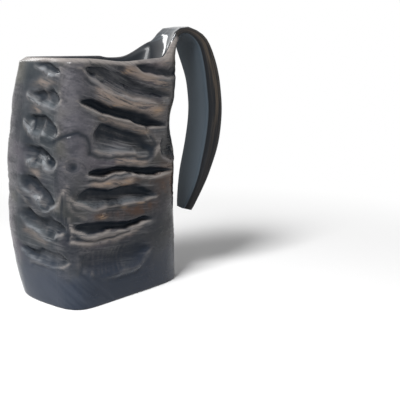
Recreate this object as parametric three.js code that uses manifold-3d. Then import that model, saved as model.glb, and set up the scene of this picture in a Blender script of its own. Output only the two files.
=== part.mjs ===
// A horn tankard: a squarish length of horn whose handle is a strip of its own wall, bent over with heat,
// closed at the foot by a horn disc that is glued into a rebate. Millimetres, +Z up, origin under the foot.

import * as THREE from "three";
import { mergeVertices } from "three/addons/utils/BufferGeometryUtils.js";
import Module from "manifold-3d";

const wasm = await Module();
wasm.setup();

// Body. Every wall is measured from an upright pole through the horn.
const POLE_X = -9.2;
const POLE_Y = 8.6;
const BODY_HEIGHT = 150;
const BELLY_HEIGHT = 82;
const CORNER_POWER = 7;
const FOOT_EDGE = 1.2;

// The faces of the horn: the way each looks, in degrees, and its reach from the pole.
const BROAD_FRONT = {
  turn: { foot: -62.5, belly: -67, rim: -67.8 },
  reach: { foot: 35.3, belly: 35.5, rim: 31.8 },
};
const NARROW_FRONT = {
  turn: { foot: -152.3, belly: -157.1, rim: -159 },
  reach: { foot: 43.6, belly: 42.4, rim: 34.1 },
};
const FAR_END = {
  turn: { foot: 180, belly: 180, rim: 180 },
  reach: { foot: 46.2, belly: 63.2, rim: 51 },
};
const BACK_CORNER = {
  turn: { foot: 140, belly: 140, rim: 140 },
  reach: { foot: 42.1, belly: 57.1, rim: 49.3 },
};
const BACK = {
  turn: { foot: 97, belly: 97, rim: 98 },
  reach: { foot: 24, belly: 26, rim: 21 },
};
const HANDLE_END = {
  turn: { foot: 0, belly: 0, rim: 0 },
  reach: { foot: 66, belly: 61.2, rim: 66.2 },
};
const HANDLE_CORNER = {
  turn: { foot: 36, belly: 36, rim: 36 },
  reach: { foot: 62, belly: 60.5, rim: 63.5 },
};
const FACES = [BROAD_FRONT, NARROW_FRONT, FAR_END, BACK_CORNER, BACK, HANDLE_CORNER, HANDLE_END];

// Bore and mouth.
const WALL = 8;
const LIP_WALL = 4.4;
const LIP_TAPER = 22;
const LIP_ROUND = 2.4;
const BORE_POWER = 5;
const CORNER_RELIEF = 4;
const RELIEF_SPREAD = 12;

// Hollows pressed into the wall. Stations run along each one: an angle round the pole, then the heights of
// its upper and lower edge. Floor and brow are the shares of that height over which it slopes, though no
// slope is shorter than MIN_SLOPE, so that the facets can follow it.
const HOLLOWS = [
  // broad front face, from the rim down
  { depth: 3, floor: 0.4, brow: 0.3, stations: [
    [-55, 147, 146.6], [-43, 147.7, 145], [-30, 147, 140.4], [-15, 143, 137.3], [-3, 139, 138]
  ] },
  { depth: 4.4, floor: 0.62, brow: 0.2, stations: [
    [-104, 146.6, 145.6], [-90, 145.6, 137.5], [-64, 140.4, 132.8], [-39, 136.3, 128],
    [-22, 130.4, 123.2], [-10, 124.5, 123]
  ] },
  { depth: 4.8, floor: 0.3, brow: 0.4, stations: [
    [-113, 125.4, 124.4], [-101, 126.3, 121], [-80, 122.6, 115.6], [-54, 118.9, 111.2],
    [-31, 114.8, 106.5], [-13, 107.6, 105.6]
  ] },
  { depth: 4.4, floor: 0.62, brow: 0.2, stations: [
    [-104, 101, 98], [-95, 111, 93.5], [-75, 110, 92], [-49, 105, 89.8], [-33, 99.7, 86.5],
    [-27, 92.5, 90.5]
  ] },
  { depth: 2.6, floor: 0.5, brow: 0.4, stations: [
    [-24, 92.5, 91], [-19, 98, 86], [-13, 98, 83.5], [-6, 93, 87]
  ] },
  { depth: 4.6, floor: 0.35, brow: 0.4, stations: [
    [-108, 82.4, 81.6], [-94, 85.2, 79.2], [-81, 85.4, 79.8], [-64, 84.5, 80.2], [-45, 82.8, 77.6],
    [-30, 81.4, 75.4], [-11, 77, 76]
  ] },
  { depth: 4.8, floor: 0.55, brow: 0.22, stations: [
    [-116, 70, 68.5], [-108, 73.5, 63.5], [-84, 71, 59.8], [-58, 72.2, 60.5], [-34, 68.3, 60.5],
    [-25, 62.4, 61.4]
  ] },
  { depth: 3.8, floor: 0.38, brow: 0.35, stations: [
    [-118, 51, 49.8], [-108, 53.6, 45.8], [-85, 51.8, 44.9], [-59, 49.7, 44.5], [-38, 49.8, 46],
    [-26, 47.5, 46.5]
  ] },
  { depth: 2.6, floor: 0.35, brow: 0.4, stations: [
    [-114, 30, 27], [-101, 35.9, 18.6], [-86, 35.5, 17.2], [-67, 35, 19], [-46, 35.2, 20], [-33, 30, 27]
  ] },
  // narrow front face, from the rim down
  { depth: 3, floor: 0.62, brow: 0.25, stations: [
    [-166, 147.4, 146.6], [-155, 149, 144.8], [-145, 149, 142], [-135, 147, 139], [-126, 142, 140]
  ] },
  { depth: 3.8, floor: 0.62, brow: 0.25, stations: [
    [-168, 129, 128], [-155, 131.2, 124.4], [-142, 131.9, 121.8], [-132, 131.3, 122], [-125, 127, 125]
  ] },
  { depth: 4.4, floor: 0.62, brow: 0.25, stations: [
    [-178, 112, 111], [-170, 116.6, 108.5], [-157, 117.4, 103.3], [-142, 115.7, 103.7],
    [-132, 113.3, 104.5], [-126, 108.5, 107]
  ] },
  { depth: 4.8, floor: 0.6, brow: 0.28, stations: [
    [-181, 94, 93], [-169, 97.8, 89], [-158, 99.3, 87], [-144, 97.2, 86.4], [-136, 94.8, 85.3],
    [-129, 89, 87.6]
  ] },
  { depth: 4.6, floor: 0.5, brow: 0.3, stations: [
    [-181, 75.5, 74.5], [-164, 80.4, 68], [-154, 79.5, 65], [-144, 75.5, 59], [-136, 72, 58.8],
    [-130, 65.4, 63.6]
  ] },
  { depth: 4.2, floor: 0.45, brow: 0.35, stations: [
    [-179, 56, 55], [-164, 61.2, 48.3], [-154, 57.3, 46], [-144, 55.9, 43.5], [-135, 55.9, 43.5],
    [-128, 54.3, 45], [-121, 49.4, 48]
  ] },
  { depth: 2.6, floor: 0.4, brow: 0.45, stations: [
    [-181, 38.5, 37.5], [-163, 36.8, 28.8], [-151, 36.4, 27.8], [-138, 37.5, 25.3], [-127, 37.2, 25.7],
    [-119, 31, 29.6]
  ] },
  // back, from the rim down
  { depth: 2.4, floor: 0.5, brow: 0.4, stations: [
    [24, 130, 129], [45, 134, 127], [85, 136, 130], [120, 135, 128.5], [150, 131, 130]
  ] },
  { depth: 3, floor: 0.5, brow: 0.4, stations: [
    [16, 110, 109], [40, 114, 107], [85, 118, 111], [125, 116, 108], [160, 111, 110]
  ] },
  { depth: 3, floor: 0.55, brow: 0.4, stations: [
    [20, 90, 89], [44, 93, 85.5], [85, 98, 90], [125, 97, 88], [154, 92, 91]
  ] },
  { depth: 2.8, floor: 0.5, brow: 0.4, stations: [
    [17, 72, 71], [46, 75, 67], [85, 78, 70], [120, 76, 68], [162, 71, 70]
  ] },
  { depth: 2.4, floor: 0.5, brow: 0.45, stations: [
    [24, 53, 52], [52, 57, 49.5], [85, 59, 51.5], [120, 57, 50], [156, 53, 52]
  ] },
  { depth: 1.7, floor: 0.5, brow: 0.5, stations: [
    [30, 35.5, 34.5], [60, 39, 32], [90, 41, 34], [120, 39, 33], [148, 36, 35]
  ] },
];

// A wide, shallow waist on the end below the handle.
const WAIST = { depth: 2.2, floor: 0.5, brow: 0.5, stations: [
  [-40, 108, 106], [-24, 122, 92], [-4, 126, 88], [14, 122, 92], [30, 108, 106]
] };
const SKIRT_SHARE = 0.3;
const CREST_WIDTH = 4;
const CREST_HEIGHT = 0.9;
const RIM_BAND = 5;
const MIN_WALL = 2.4;
const MIN_SLOPE = 3.4;

// Foot disc and its glue line.
const PLUG_THICKNESS = 9;
const PLUG_EDGE = 0.8;
const SHOULDER = 3;
const SEAL_WIDTH = 1.2;
const SEAL_RECESS = 0.4;
const FIT_GAP = 0.3;

// Handle strip. Its path is the centre line's standoff from the end of the body, and the drop below the rim.
const HANDLE_PATH = [
  [-2.4, 9],
  [-2.4, 0],
  [-2.3, -7],
  [-1.4, -13.2],
  [1.8, -17.6],
  [6.8, -18],
  [10.6, -13.8],
  [13.2, -8.4],
  [16.7, 1.8],
  [20.4, 11.2],
  [23.8, 21.5],
  [26.2, 34],
  [26.5, 48],
  [24.8, 60],
  [21.7, 72],
  [18.2, 83.5],
  [14.7, 94.5],
  [11.4, 105],
];
const HANDLE_SIDE = 11.6;
const HANDLE_WIDTH = 33;
const TIP_WIDTH = 22;
const ROOT_THICKNESS = 5;
const HANDLE_THICKNESS = 10.8;
const TIP_THICKNESS = 7;
const EDGE_ROUND = 0.3;
const ARCH_TWIST = 3;

// Shares of the strip's length over which it turns from wall to flat bar, twists, thickens, thins and tapers.
const FLATTENING = { start: 0.04, end: 0.26 };
const TWISTING = { start: 0.15, end: 0.27 };
const UNTWISTING = { start: 0.3, end: 0.52 };
const THICKENING = { start: 0.15, end: 0.68 };
const THINNING = { start: 0.66, end: 0.95 };
const TAPERING = { start: 0.82, end: 1 };
const TIP_START = 0.9;
const TIP_ROUNDING = 0.7;

// Angles round the pole between which the strip was cut out of the wall.
const ROOT_NEAR = -7;
const ROOT_FAR = 22;

// Climb of the rim into the handle: angles where it starts and is full, either side.
const CLIMB_RISE = 12;
const CLIMB_DEPTH = 34;
const CLIMB_NEAR = { start: -14, full: -6 };
const CLIMB_FAR = { start: 43, full: 17 };

// The rings of facets slant across the broad face as its hollows do: turns round the pole and shares of the
// height, each with the share of the slant there.
const SLANT_RISE = 11;
const SLANT_TURNS = { places: [-180, -130, -102, -10, 40, 180], shares: [0, 0, 1, -1, 0, 0] };
const SLANT_HEIGHTS = { places: [0, 0.33, 0.78, 1], shares: [0, 0, 1, 0] };

// Fineness of the facets.
const TURN_STEPS = 66;
const WALL_RINGS = 56;
const BORE_RINGS = 10;
const LIP_STEPS = 5;
const DISC_STEPS = 60;
const ARC_SAMPLES = 24;
const WELD = 1e-5;
const STRIP_STEPS = { length: 40, width: 6, thickness: 2 };

const { degToRad, smoothstep, lerp, clamp } = THREE.MathUtils;

// The value at height z on a smooth line through its foot, belly and rim values.
function alongHeight(size, z) {
  const foot = size.foot * (z - BELLY_HEIGHT) * (z - BODY_HEIGHT) / (BELLY_HEIGHT * BODY_HEIGHT);
  const belly = size.belly * z * (BODY_HEIGHT - z) / (BELLY_HEIGHT * (BODY_HEIGHT - BELLY_HEIGHT));
  const rim = size.rim * z * (z - BELLY_HEIGHT) / (BODY_HEIGHT * (BODY_HEIGHT - BELLY_HEIGHT));
  return foot + belly + rim;
}

// Radius of the rounded many-sided section: a higher power makes sharper corners.
function sectionRadius(theta, z, inset, power) {
  let sum = 0;
  for (const wall of FACES) {
    const facing = Math.cos(theta - degToRad(alongHeight(wall.turn, z)));
    const reach = alongHeight(wall.reach, z) - inset;
    sum += Math.max(0, facing / reach) ** power;
  }
  return sum ** (-1 / power);
}

// The edges of a hollow as smooth lines through its stations, ready to be read at any angle.
function prepared({ stations, ...shape }) {
  const angles = stations.map((station) => station[0]);
  const edges = stations.flatMap(([, upper, lower]) => [upper, lower]);
  const widest = Math.max(...stations.map(([, upper, lower]) => upper - lower));
  const line = new THREE.CubicInterpolant(angles, edges, 2, new Float32Array(2));
  return { ...shape, from: angles[0], to: angles.at(-1), widest, line };
}

// One hollow at a point of the wall: its pit, its wide soft skirt and the crest below it.
function pressed(hollow, theta, z) {
  const angle = hollow.from + THREE.MathUtils.euclideanModulo(theta * 180 / Math.PI - hollow.from, 360);
  if (angle >= hollow.to) return { pit: 0, skirt: 0, crest: 0 };
  const [upper, lower] = hollow.line.evaluate(angle);
  const gap = Math.max(upper - lower, 0.2);
  const opening = smoothstep(gap, 0.4, 0.55 * hollow.widest);
  const climb = (z - lower) / gap;
  const spread = (z - (upper + lower) / 2) / ((gap + hollow.widest) / 2);
  const below = clamp((lower - z) / CREST_WIDTH + 0.12, 0, 1);
  const floor = Math.max(hollow.floor, MIN_SLOPE / gap);
  const brow = Math.max(hollow.brow, MIN_SLOPE / gap);
  const slopes = smoothstep(climb, 0, floor) * smoothstep(1 - climb, 0, brow);
  return {
    pit: hollow.depth * opening * slopes,
    skirt: hollow.depth * opening * Math.exp(-(spread ** 2)),
    crest: opening * (4 * below * (1 - below)) ** 2,
  };
}

const hollows = HOLLOWS.map(prepared);
const waist = prepared(WAIST);

// Depth of all the hollows at one point of the wall. They fade at the rim.
function hollowDepth(theta, z) {
  const all = hollows.map((hollow) => pressed(hollow, theta, z));
  const most = (name) => Math.max(...all.map((one) => one[name]));
  const depth = most("pit") + SKIRT_SHARE * most("skirt") - CREST_HEIGHT * most("crest");
  return (depth + pressed(waist, theta, z).pit) * smoothstep(BODY_HEIGHT - z, 0, RIM_BAND);
}

function hornRadius(theta, z) {
  const footEdge = Math.max(0, FOOT_EDGE - z);
  const radius = sectionRadius(theta, z, 0, CORNER_POWER) - footEdge;
  return Math.max(radius - hollowDepth(theta, z), Math.min(radius, boreRadius(theta, z) + MIN_WALL));
}

// Degrees from the handle end of the body, from -180 to 180.
function fromHandle(theta) {
  return THREE.MathUtils.euclideanModulo(theta * 180 / Math.PI + 180, 360) - 180;
}

// The bore is rounder than the outside. Its wall thins towards the lip, most of all at the strip's near edge.
function boreRadius(theta, z) {
  const thinning = smoothstep(z, BODY_HEIGHT - LIP_TAPER, BODY_HEIGHT);
  const away = (fromHandle(theta) - ROOT_NEAR) / RELIEF_SPREAD;
  const relief = CORNER_RELIEF * thinning * Math.exp(-(away ** 2));
  return sectionRadius(theta, z, lerp(WALL, LIP_WALL, thinning), BORE_POWER) + relief;
}

function socketRadius(theta) {
  return sectionRadius(theta, 0, WALL - SHOULDER, BORE_POWER);
}

function plugRadius(theta, z) {
  const edge = Math.max(0, PLUG_EDGE - z);
  return socketRadius(theta) - SEAL_WIDTH - 2 * FIT_GAP - edge;
}

// The rim climbs on both sides of the handle root, gently from the back and steeply from the front.
function rimClimb(theta, z) {
  const angle = fromHandle(theta);
  const near = smoothstep(angle, CLIMB_NEAR.start, CLIMB_NEAR.full);
  const far = smoothstep(-angle, -CLIMB_FAR.start, -CLIMB_FAR.full);
  return CLIMB_RISE * near * far * smoothstep(z, BODY_HEIGHT - CLIMB_DEPTH, BODY_HEIGHT) ** 2;
}

// Triangles that collapse to an edge on the axis are dropped once shared points are merged.
function welded(geometry) {
  geometry.deleteAttribute("normal");
  geometry.deleteAttribute("uv");
  const merged = mergeVertices(geometry, WELD);
  const corners = merged.index.array;
  const kept = [];
  for (let i = 0; i < corners.length; i += 3) {
    const [a, b, c] = corners.subarray(i, i + 3);
    if (a !== b && b !== c && c !== a) kept.push(a, b, c);
  }
  merged.setIndex(kept);
  return merged;
}

// Angles that space the facets evenly round the belly.
function evenAngles(steps) {
  const fine = ARC_SAMPLES * steps;
  const lengths = [0];
  const pointAt = (i) => {
    const theta = 2 * Math.PI * i / fine;
    const radius = sectionRadius(theta, BELLY_HEIGHT, 0, CORNER_POWER);
    return new THREE.Vector2(radius * Math.cos(theta), radius * Math.sin(theta));
  };
  for (let i = 1; i <= fine; i += 1) {
    lengths.push(lengths[i - 1] + pointAt(i).distanceTo(pointAt(i - 1)));
  }
  const angles = [];
  for (let i = 0; i < steps; i += 1) {
    const nearest = lengths.findIndex((length) => length >= lengths[fine] * i / steps);
    angles.push(2 * Math.PI * nearest / fine);
  }
  return angles;
}

function straightLine({ places, shares }) {
  const line = new THREE.LinearInterpolant(places, shares, 1, new Float32Array(1));
  return (place) => line.evaluate(place)[0];
}

const slantTurn = straightLine(SLANT_TURNS);
const slantHeight = straightLine(SLANT_HEIGHTS);

function slanted(theta, z) {
  const share = Math.min(z / (BODY_HEIGHT - LIP_ROUND), 1);
  return z + SLANT_RISE * slantTurn(fromHandle(theta)) * slantHeight(share);
}

// Turns a profile round the pole and stretches it between two outlines: x 0 is the inner one, 1 the outer.
function turned(profile, steps, inner, outer, level = (theta, z) => z, climb = () => 0) {
  const geometry = new THREE.LatheGeometry(profile, steps);
  const points = geometry.attributes.position;
  const angles = evenAngles(steps);
  for (let i = 0; i < points.count; i += 1) {
    const theta = angles[Math.floor(i / profile.length) % steps];
    const { x: across, y: height } = profile[i % profile.length];
    const z = level(theta, height);
    const radius = lerp(inner(theta, z), outer(theta, z), across);
    const x = POLE_X + radius * Math.cos(theta);
    const y = POLE_Y + radius * Math.sin(theta);
    points.setXYZ(i, x, y, z + climb(theta, z));
  }
  return welded(geometry);
}

function solidOf(geometry) {
  const vertProperties = new Float32Array(geometry.attributes.position.array);
  const triVerts = new Uint32Array(geometry.index.array);
  return new wasm.Manifold(new wasm.Mesh({ numProp: 3, vertProperties, triVerts }));
}

function geometryOf(solid) {
  const { vertProperties, triVerts } = solid.getMesh();
  const geometry = new THREE.BufferGeometry();
  geometry.setAttribute("position", new THREE.BufferAttribute(vertProperties, 3));
  geometry.setIndex(new THREE.BufferAttribute(triVerts, 1));
  geometry.computeVertexNormals();
  return geometry;
}

function profileOf(corners) {
  return corners.map(([across, z]) => new THREE.Vector2(across, z));
}

// Wall section of the horn, once round: foot, outside, lip and bore.
function wallProfile() {
  const lipFoot = BODY_HEIGHT - LIP_ROUND;
  const profile = [new THREE.Vector2(1, 0)];
  for (let i = 0; i <= WALL_RINGS; i += 1) {
    profile.push(new THREE.Vector2(1, lerp(FOOT_EDGE, lipFoot, i / WALL_RINGS)));
  }
  for (let i = 1; i < LIP_STEPS; i += 1) {
    const angle = Math.PI * i / LIP_STEPS;
    profile.push(new THREE.Vector2((1 + Math.cos(angle)) / 2, lipFoot + LIP_ROUND * Math.sin(angle)));
  }
  for (let i = BORE_RINGS; i >= 0; i -= 1) {
    profile.push(new THREE.Vector2(0, lipFoot * i / BORE_RINGS));
  }
  profile.push(profile[0].clone());
  return profile;
}

function hornShell() {
  return turned(wallProfile(), TURN_STEPS, boreRadius, hornRadius, slanted, rimClimb);
}

// Rebate cut up into the foot, with a shoulder above the disc.
function footRebate() {
  const top = PLUG_THICKNESS + FIT_GAP;
  return turned(profileOf([[0, -top], [1, -top], [1, top], [0, top]]), DISC_STEPS, () => 0, socketRadius);
}

function plugDisc() {
  const corners = [[0, 0], [1, 0], [1, PLUG_EDGE], [1, PLUG_THICKNESS], [0, PLUG_THICKNESS]];
  return turned(profileOf(corners), DISC_STEPS, () => 0, plugRadius);
}

function sealRing() {
  const outer = (theta) => socketRadius(theta) - FIT_GAP;
  const inner = (theta) => outer(theta) - SEAL_WIDTH;
  const top = PLUG_THICKNESS - SEAL_RECESS;
  const corners = [[0, SEAL_RECESS], [1, SEAL_RECESS], [1, top], [0, top], [0, SEAL_RECESS]];
  return turned(profileOf(corners), DISC_STEPS, inner, outer);
}

function shareOf(share, { start, end }) {
  return smoothstep(share, start, end);
}

// Thin at the root, thickest below the middle, and thin again at the tip.
function stripThickness(share) {
  const body = lerp(ROOT_THICKNESS, HANDLE_THICKNESS, shareOf(share, THICKENING));
  return lerp(body, TIP_THICKNESS, shareOf(share, THINNING));
}

function stripHalfWidth(share) {
  const past = clamp((share - TIP_START) / (1 - TIP_START), 0, 1);
  const round = Math.sqrt(1 - TIP_ROUNDING * past * past);
  return lerp(HANDLE_WIDTH, TIP_WIDTH, shareOf(share, TAPERING)) / 2 * round;
}

// Centre line of the strip in the upright plane through the handle end of the body.
function handleCurve() {
  const points = HANDLE_PATH.map(([standoff, drop]) => {
    const z = BODY_HEIGHT - drop;
    const end = alongHeight(HANDLE_END.reach, Math.min(z, BODY_HEIGHT));
    return new THREE.Vector3(POLE_X + end + standoff, POLE_Y + HANDLE_SIDE, z);
  });
  return new THREE.CatmullRomCurve3(points);
}

// A point of the strip while it still is a piece of the wall.
function wallPoint(side, through, z) {
  const theta = degToRad(lerp(ROOT_NEAR, ROOT_FAR, (side + 1) / 2));
  const middle = sectionRadius(theta, BODY_HEIGHT, LIP_WALL / 2, CORNER_POWER);
  const radius = middle + through * ROOT_THICKNESS;
  return new THREE.Vector3(POLE_X + radius * Math.cos(theta), POLE_Y + radius * Math.sin(theta), z);
}

// A straight bar bent along the centre line: shaped like the wall at its root, then flat and thin-edged.
function handleStrip() {
  const { length, width, thickness } = STRIP_STEPS;
  const geometry = new THREE.BoxGeometry(1, 1, 1, length, width, thickness);
  const points = geometry.attributes.position;
  const curve = handleCurve();
  for (let i = 0; i < points.count; i += 1) {
    const share = clamp(points.getX(i) + 0.5, 0, 1);
    const side = 2 * points.getY(i);
    const through = -points.getZ(i) * (1 - EDGE_ROUND * side ** 4);
    const centre = curve.getPointAt(share);
    const along = curve.getTangentAt(share);
    const outward = new THREE.Vector3(along.z, 0, -along.x);
    const flat = centre.clone().addScaledVector(outward, through * stripThickness(share));
    flat.x -= ARCH_TWIST * (side + 1) / 2 * shareOf(share, TWISTING) * (1 - shareOf(share, UNTWISTING));
    flat.y += side * stripHalfWidth(share);
    const bent = wallPoint(side, through, centre.z).lerp(flat, shareOf(share, FLATTENING));
    points.setXYZ(i, bent.x, bent.y, bent.z);
  }
  return welded(geometry);
}

function hornBody() {
  const shell = solidOf(hornShell());
  const strip = solidOf(handleStrip());
  const rebate = solidOf(footRebate());
  return geometryOf(shell.add(strip).subtract(rebate));
}

const horn = new THREE.MeshStandardMaterial({ color: 0x3b3836, roughness: 0.38, metalness: 0 });
const plugHorn = new THREE.MeshStandardMaterial({ color: 0x2f2d2d, roughness: 0.45, metalness: 0 });
const adhesive = new THREE.MeshStandardMaterial({ color: 0x17171a, roughness: 0.3, metalness: 0 });

const tankard = new THREE.Group();

function addPiece(name, geometry, material) {
  const mesh = new THREE.Mesh(geometry, material);
  mesh.name = name;
  tankard.add(mesh);
}

addPiece("horn_body", hornBody(), horn);
addPiece("base_plug", plugDisc(), plugHorn);
addPiece("base_seal", sealRing(), adhesive);

export default tankard;
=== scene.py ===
# %% [markdown]
# # A tankard of furrowed horn
# The mug is a squarish length of dark horn, sawn flat at the foot. Its handle is a strip of the same
# wall, softened by heat and bent over, and a horn disc is glued into the foot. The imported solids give
# the true sizes. This lesson dresses them: it models the horn as one smooth cage, presses the growth
# furrows into it like a sculptor, and gives it a polished, streaky finish made of nodes.

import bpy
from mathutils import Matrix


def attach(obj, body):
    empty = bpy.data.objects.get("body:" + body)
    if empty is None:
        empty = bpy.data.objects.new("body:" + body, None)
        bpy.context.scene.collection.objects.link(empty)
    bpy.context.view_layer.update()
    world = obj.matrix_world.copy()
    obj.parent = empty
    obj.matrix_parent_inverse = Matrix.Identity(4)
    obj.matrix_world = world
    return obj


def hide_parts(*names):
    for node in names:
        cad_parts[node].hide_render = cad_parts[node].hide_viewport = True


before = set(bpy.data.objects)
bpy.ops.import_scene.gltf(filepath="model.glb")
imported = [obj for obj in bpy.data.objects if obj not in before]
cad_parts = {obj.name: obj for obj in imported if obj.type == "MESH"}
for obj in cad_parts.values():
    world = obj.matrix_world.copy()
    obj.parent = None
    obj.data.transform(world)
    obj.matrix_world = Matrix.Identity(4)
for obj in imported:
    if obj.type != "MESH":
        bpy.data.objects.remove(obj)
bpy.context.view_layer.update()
print("packed solids:", sorted(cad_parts))

# %% Tools and units
import math

import bmesh
import bpy
import numpy as np
from mathutils import Matrix, Vector, noise

MM = 0.001
scene = bpy.context.scene


def smoothstep(value, low, high):
    """0 below low, 1 above high, and an S curve between them."""
    share = np.clip((value - low) / (high - low), 0.0, 1.0)
    return share * share * (3.0 - 2.0 * share)


def lerp(start, end, share):
    return start + (end - start) * share


# %% [markdown]
# ## Camera
# The photograph looks slightly down on the corner between the mug's broad and narrow front faces. The
# camera stands about half a metre away, a little above the rim. Its place was found by fitting the mug's
# outline, so a render lies over the photograph without any shift of the lens.

# %% Camera
CAMERA_PLACE = Vector((-157.86, -509.85, 161.86)) * MM
CAMERA_LOOK = Vector((0.3967, 0.8981, -0.1901))
CAMERA_LENS = 75.26
CAMERA_SENSOR = 36.0

camera = bpy.data.objects.new("camera", bpy.data.cameras.new("camera"))
camera.data.lens = CAMERA_LENS
camera.data.sensor_width = CAMERA_SENSOR
camera.location = CAMERA_PLACE
camera.rotation_euler = CAMERA_LOOK.to_track_quat("-Z", "Y").to_euler()
scene.collection.objects.link(camera)
scene.camera = camera
print("camera lens", CAMERA_LENS, "mm")

# %% [markdown]
# ## The section of the horn
# A horn is not a turned shape, so a lathe would not do. Its section has seven flattish faces with soft
# corners. One formula gives it: every face has a way it looks and a reach from an upright pole inside
# the horn, and a high power of each face's share blends them. The faces turn and swell a little with
# height, along a smooth line through their foot, belly and rim values. All of it is in millimetres.

# %% Section of the horn
POLE_X = -9.2
POLE_Y = 8.6
BODY_HEIGHT = 150.0
BELLY_HEIGHT = 82.0
CORNER_POWER = 7
BORE_POWER = 5

# Each face: the angle it looks to, then its reach, both at foot, belly and rim.
HORN_FACES = {
    "broad front": ((-62.5, -67.0, -67.8), (35.3, 35.5, 31.8)),
    "narrow front": ((-152.3, -157.1, -159.0), (43.6, 42.4, 34.1)),
    "far end": ((180.0, 180.0, 180.0), (46.2, 63.2, 51.0)),
    "back corner": ((140.0, 140.0, 140.0), (42.1, 57.1, 49.3)),
    "back": ((97.0, 97.0, 98.0), (24.0, 26.0, 21.0)),
    "handle corner": ((36.0, 36.0, 36.0), (62.0, 60.5, 63.5)),
    "handle end": ((0.0, 0.0, 0.0), (66.0, 61.2, 66.2)),
}


def along_height(sizes, z):
    """Value at height z on a smooth line through the foot, belly and rim values."""
    foot, belly, rim = sizes
    foot_part = foot * (z - BELLY_HEIGHT) * (z - BODY_HEIGHT) / (BELLY_HEIGHT * BODY_HEIGHT)
    belly_part = belly * z * (BODY_HEIGHT - z) / (BELLY_HEIGHT * (BODY_HEIGHT - BELLY_HEIGHT))
    rim_part = rim * z * (z - BELLY_HEIGHT) / (BODY_HEIGHT * (BODY_HEIGHT - BELLY_HEIGHT))
    return foot_part + belly_part + rim_part


def section_radius(theta, z, inset, power):
    total = 0.0
    for turns, reaches in HORN_FACES.values():
        facing = np.cos(theta - np.radians(along_height(turns, z)))
        total = total + np.maximum(0.0, facing / (along_height(reaches, z) - inset)) ** power
    return total ** (-1.0 / power)


def round_point(radius, theta, z):
    """A point from its distance and angle round the pole, and its height."""
    return Vector((POLE_X + radius * math.cos(theta), POLE_Y + radius * math.sin(theta), z))


def signed_degrees(theta):
    return (np.degrees(theta) + 180.0) % 360.0 - 180.0


print("belly reach to the handle:", round(float(section_radius(0.0, BELLY_HEIGHT, 0, CORNER_POWER)), 1))

# %% [markdown]
# ## The strip that becomes the handle
# The strip is cut free between two angles of the wall, then bent up, over and down. Near its root it
# keeps the curve of the wall, then it is cupped like a gutter, and over the arch it flattens and twists a
# little. A smooth line through a few given points is its centre line. A point of the strip is named
# by how far along it lies, how far across and how far through, so one function serves both the cage that
# grows along it and the rim that leans out with it.

# %% Sizes of the strip
# Each point: how far it stands off the handle end of the horn, and how far below the rim.
HANDLE_PATH = [
    (-2.4, 9.0),
    (-2.4, 0.0),
    (-2.3, -7.0),
    (-1.1, -12.6),
    (2.1, -16.1),
    (7.2, -17.2),
    (11.2, -13.4),
    (14.6, -8.6),
    (18.5, 1.6),
    (21.8, 11.0),
    (24.3, 21.5),
    (26.4, 34.0),
    (26.4, 48.0),
    (24.8, 60.0),
    (21.7, 72.0),
    (18.2, 83.5),
    (14.7, 94.5),
    (11.4, 105.0),
]
HANDLE_SIDE = 11.6
HANDLE_WIDTH = 34.0
TIP_WIDTH = 22.0
ROOT_THICKNESS = 5.2
HANDLE_THICKNESS = 13.0
TIP_THICKNESS = 7.4
EDGE_THINNING = 0.10
ROOT_SHARE = 0.04
FLAT_SHARE = 0.26
ARCH_TWIST = 3.5
CUP_DEPTH = 4.0
CUP_IN = (0.03, 0.12)
CUP_OUT = (0.11, 0.2)
TWIST_IN = (0.19, 0.28)
TWIST_OUT = (0.28, 0.46)
TAPER_SHARE = 0.82
THICKENING = (0.07, 0.46)
THINNING = (0.66, 0.95)
TIP_START = 0.9
TIP_ROUNDING = 0.7
ROOT_NEAR = -7.0
ROOT_FAR = 23.0
LIP_WALL = 4.4

print("strip", HANDLE_WIDTH, "mm wide and up to", HANDLE_THICKNESS, "mm thick")

# %% Centre line of the strip
LINE_SAMPLES = 12
LINE_SOFTENING = 8


def strip_thickness(share):
    """Thin at the root, thickest below the middle, and thin again at the tip."""
    body = lerp(ROOT_THICKNESS, HANDLE_THICKNESS, smoothstep(share, *THICKENING))
    return lerp(body, TIP_THICKNESS, smoothstep(share, *THINNING))


def through_points(value, places, heights):
    """A smooth curve through given points, read at every value."""
    slopes = np.gradient(heights, places)
    index = np.clip(np.searchsorted(places, value, side="right") - 1, 0, len(places) - 2)
    span = places[index + 1] - places[index]
    t = np.clip((value - places[index]) / span, 0.0, 1.0)
    start = (2 * t**3 - 3 * t**2 + 1) * heights[index] + (t**3 - 2 * t**2 + t) * span * slopes[index]
    end = (3 * t**2 - 2 * t**3) * heights[index + 1] + (t**3 - t**2) * span * slopes[index + 1]
    return start + end


def run_lengths(line):
    """How far along a line of points each of them lies."""
    return np.concatenate([[0.0], np.cumsum(np.linalg.norm(np.diff(line, axis=0), axis=1))])


def smooth_line(points, samples):
    """A smooth line through the points, as samples spaced evenly along its length."""
    points = np.array(points)
    knots = run_lengths(points)
    fine = np.linspace(0.0, knots[-1], samples * len(points))
    line = np.stack([through_points(fine, knots, points[:, i]) for i in range(2)], axis=1)
    for _ in range(LINE_SOFTENING):
        line[1:-1] = (line[:-2] + line[2:]) / 2
    length = run_lengths(line)
    even = np.linspace(0.0, length[-1], len(line))
    return np.stack([np.interp(even, length, line[:, i]) for i in range(2)], axis=1), length[-1]


def centre_points():
    """Centre of the strip at each given point, as x and z in the upright plane of the handle."""
    placed = []
    for standoff, drop in HANDLE_PATH:
        z = BODY_HEIGHT - drop
        end = along_height(HORN_FACES["handle end"][1], min(z, BODY_HEIGHT))
        placed.append((POLE_X + end + standoff, z))
    return placed


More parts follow.
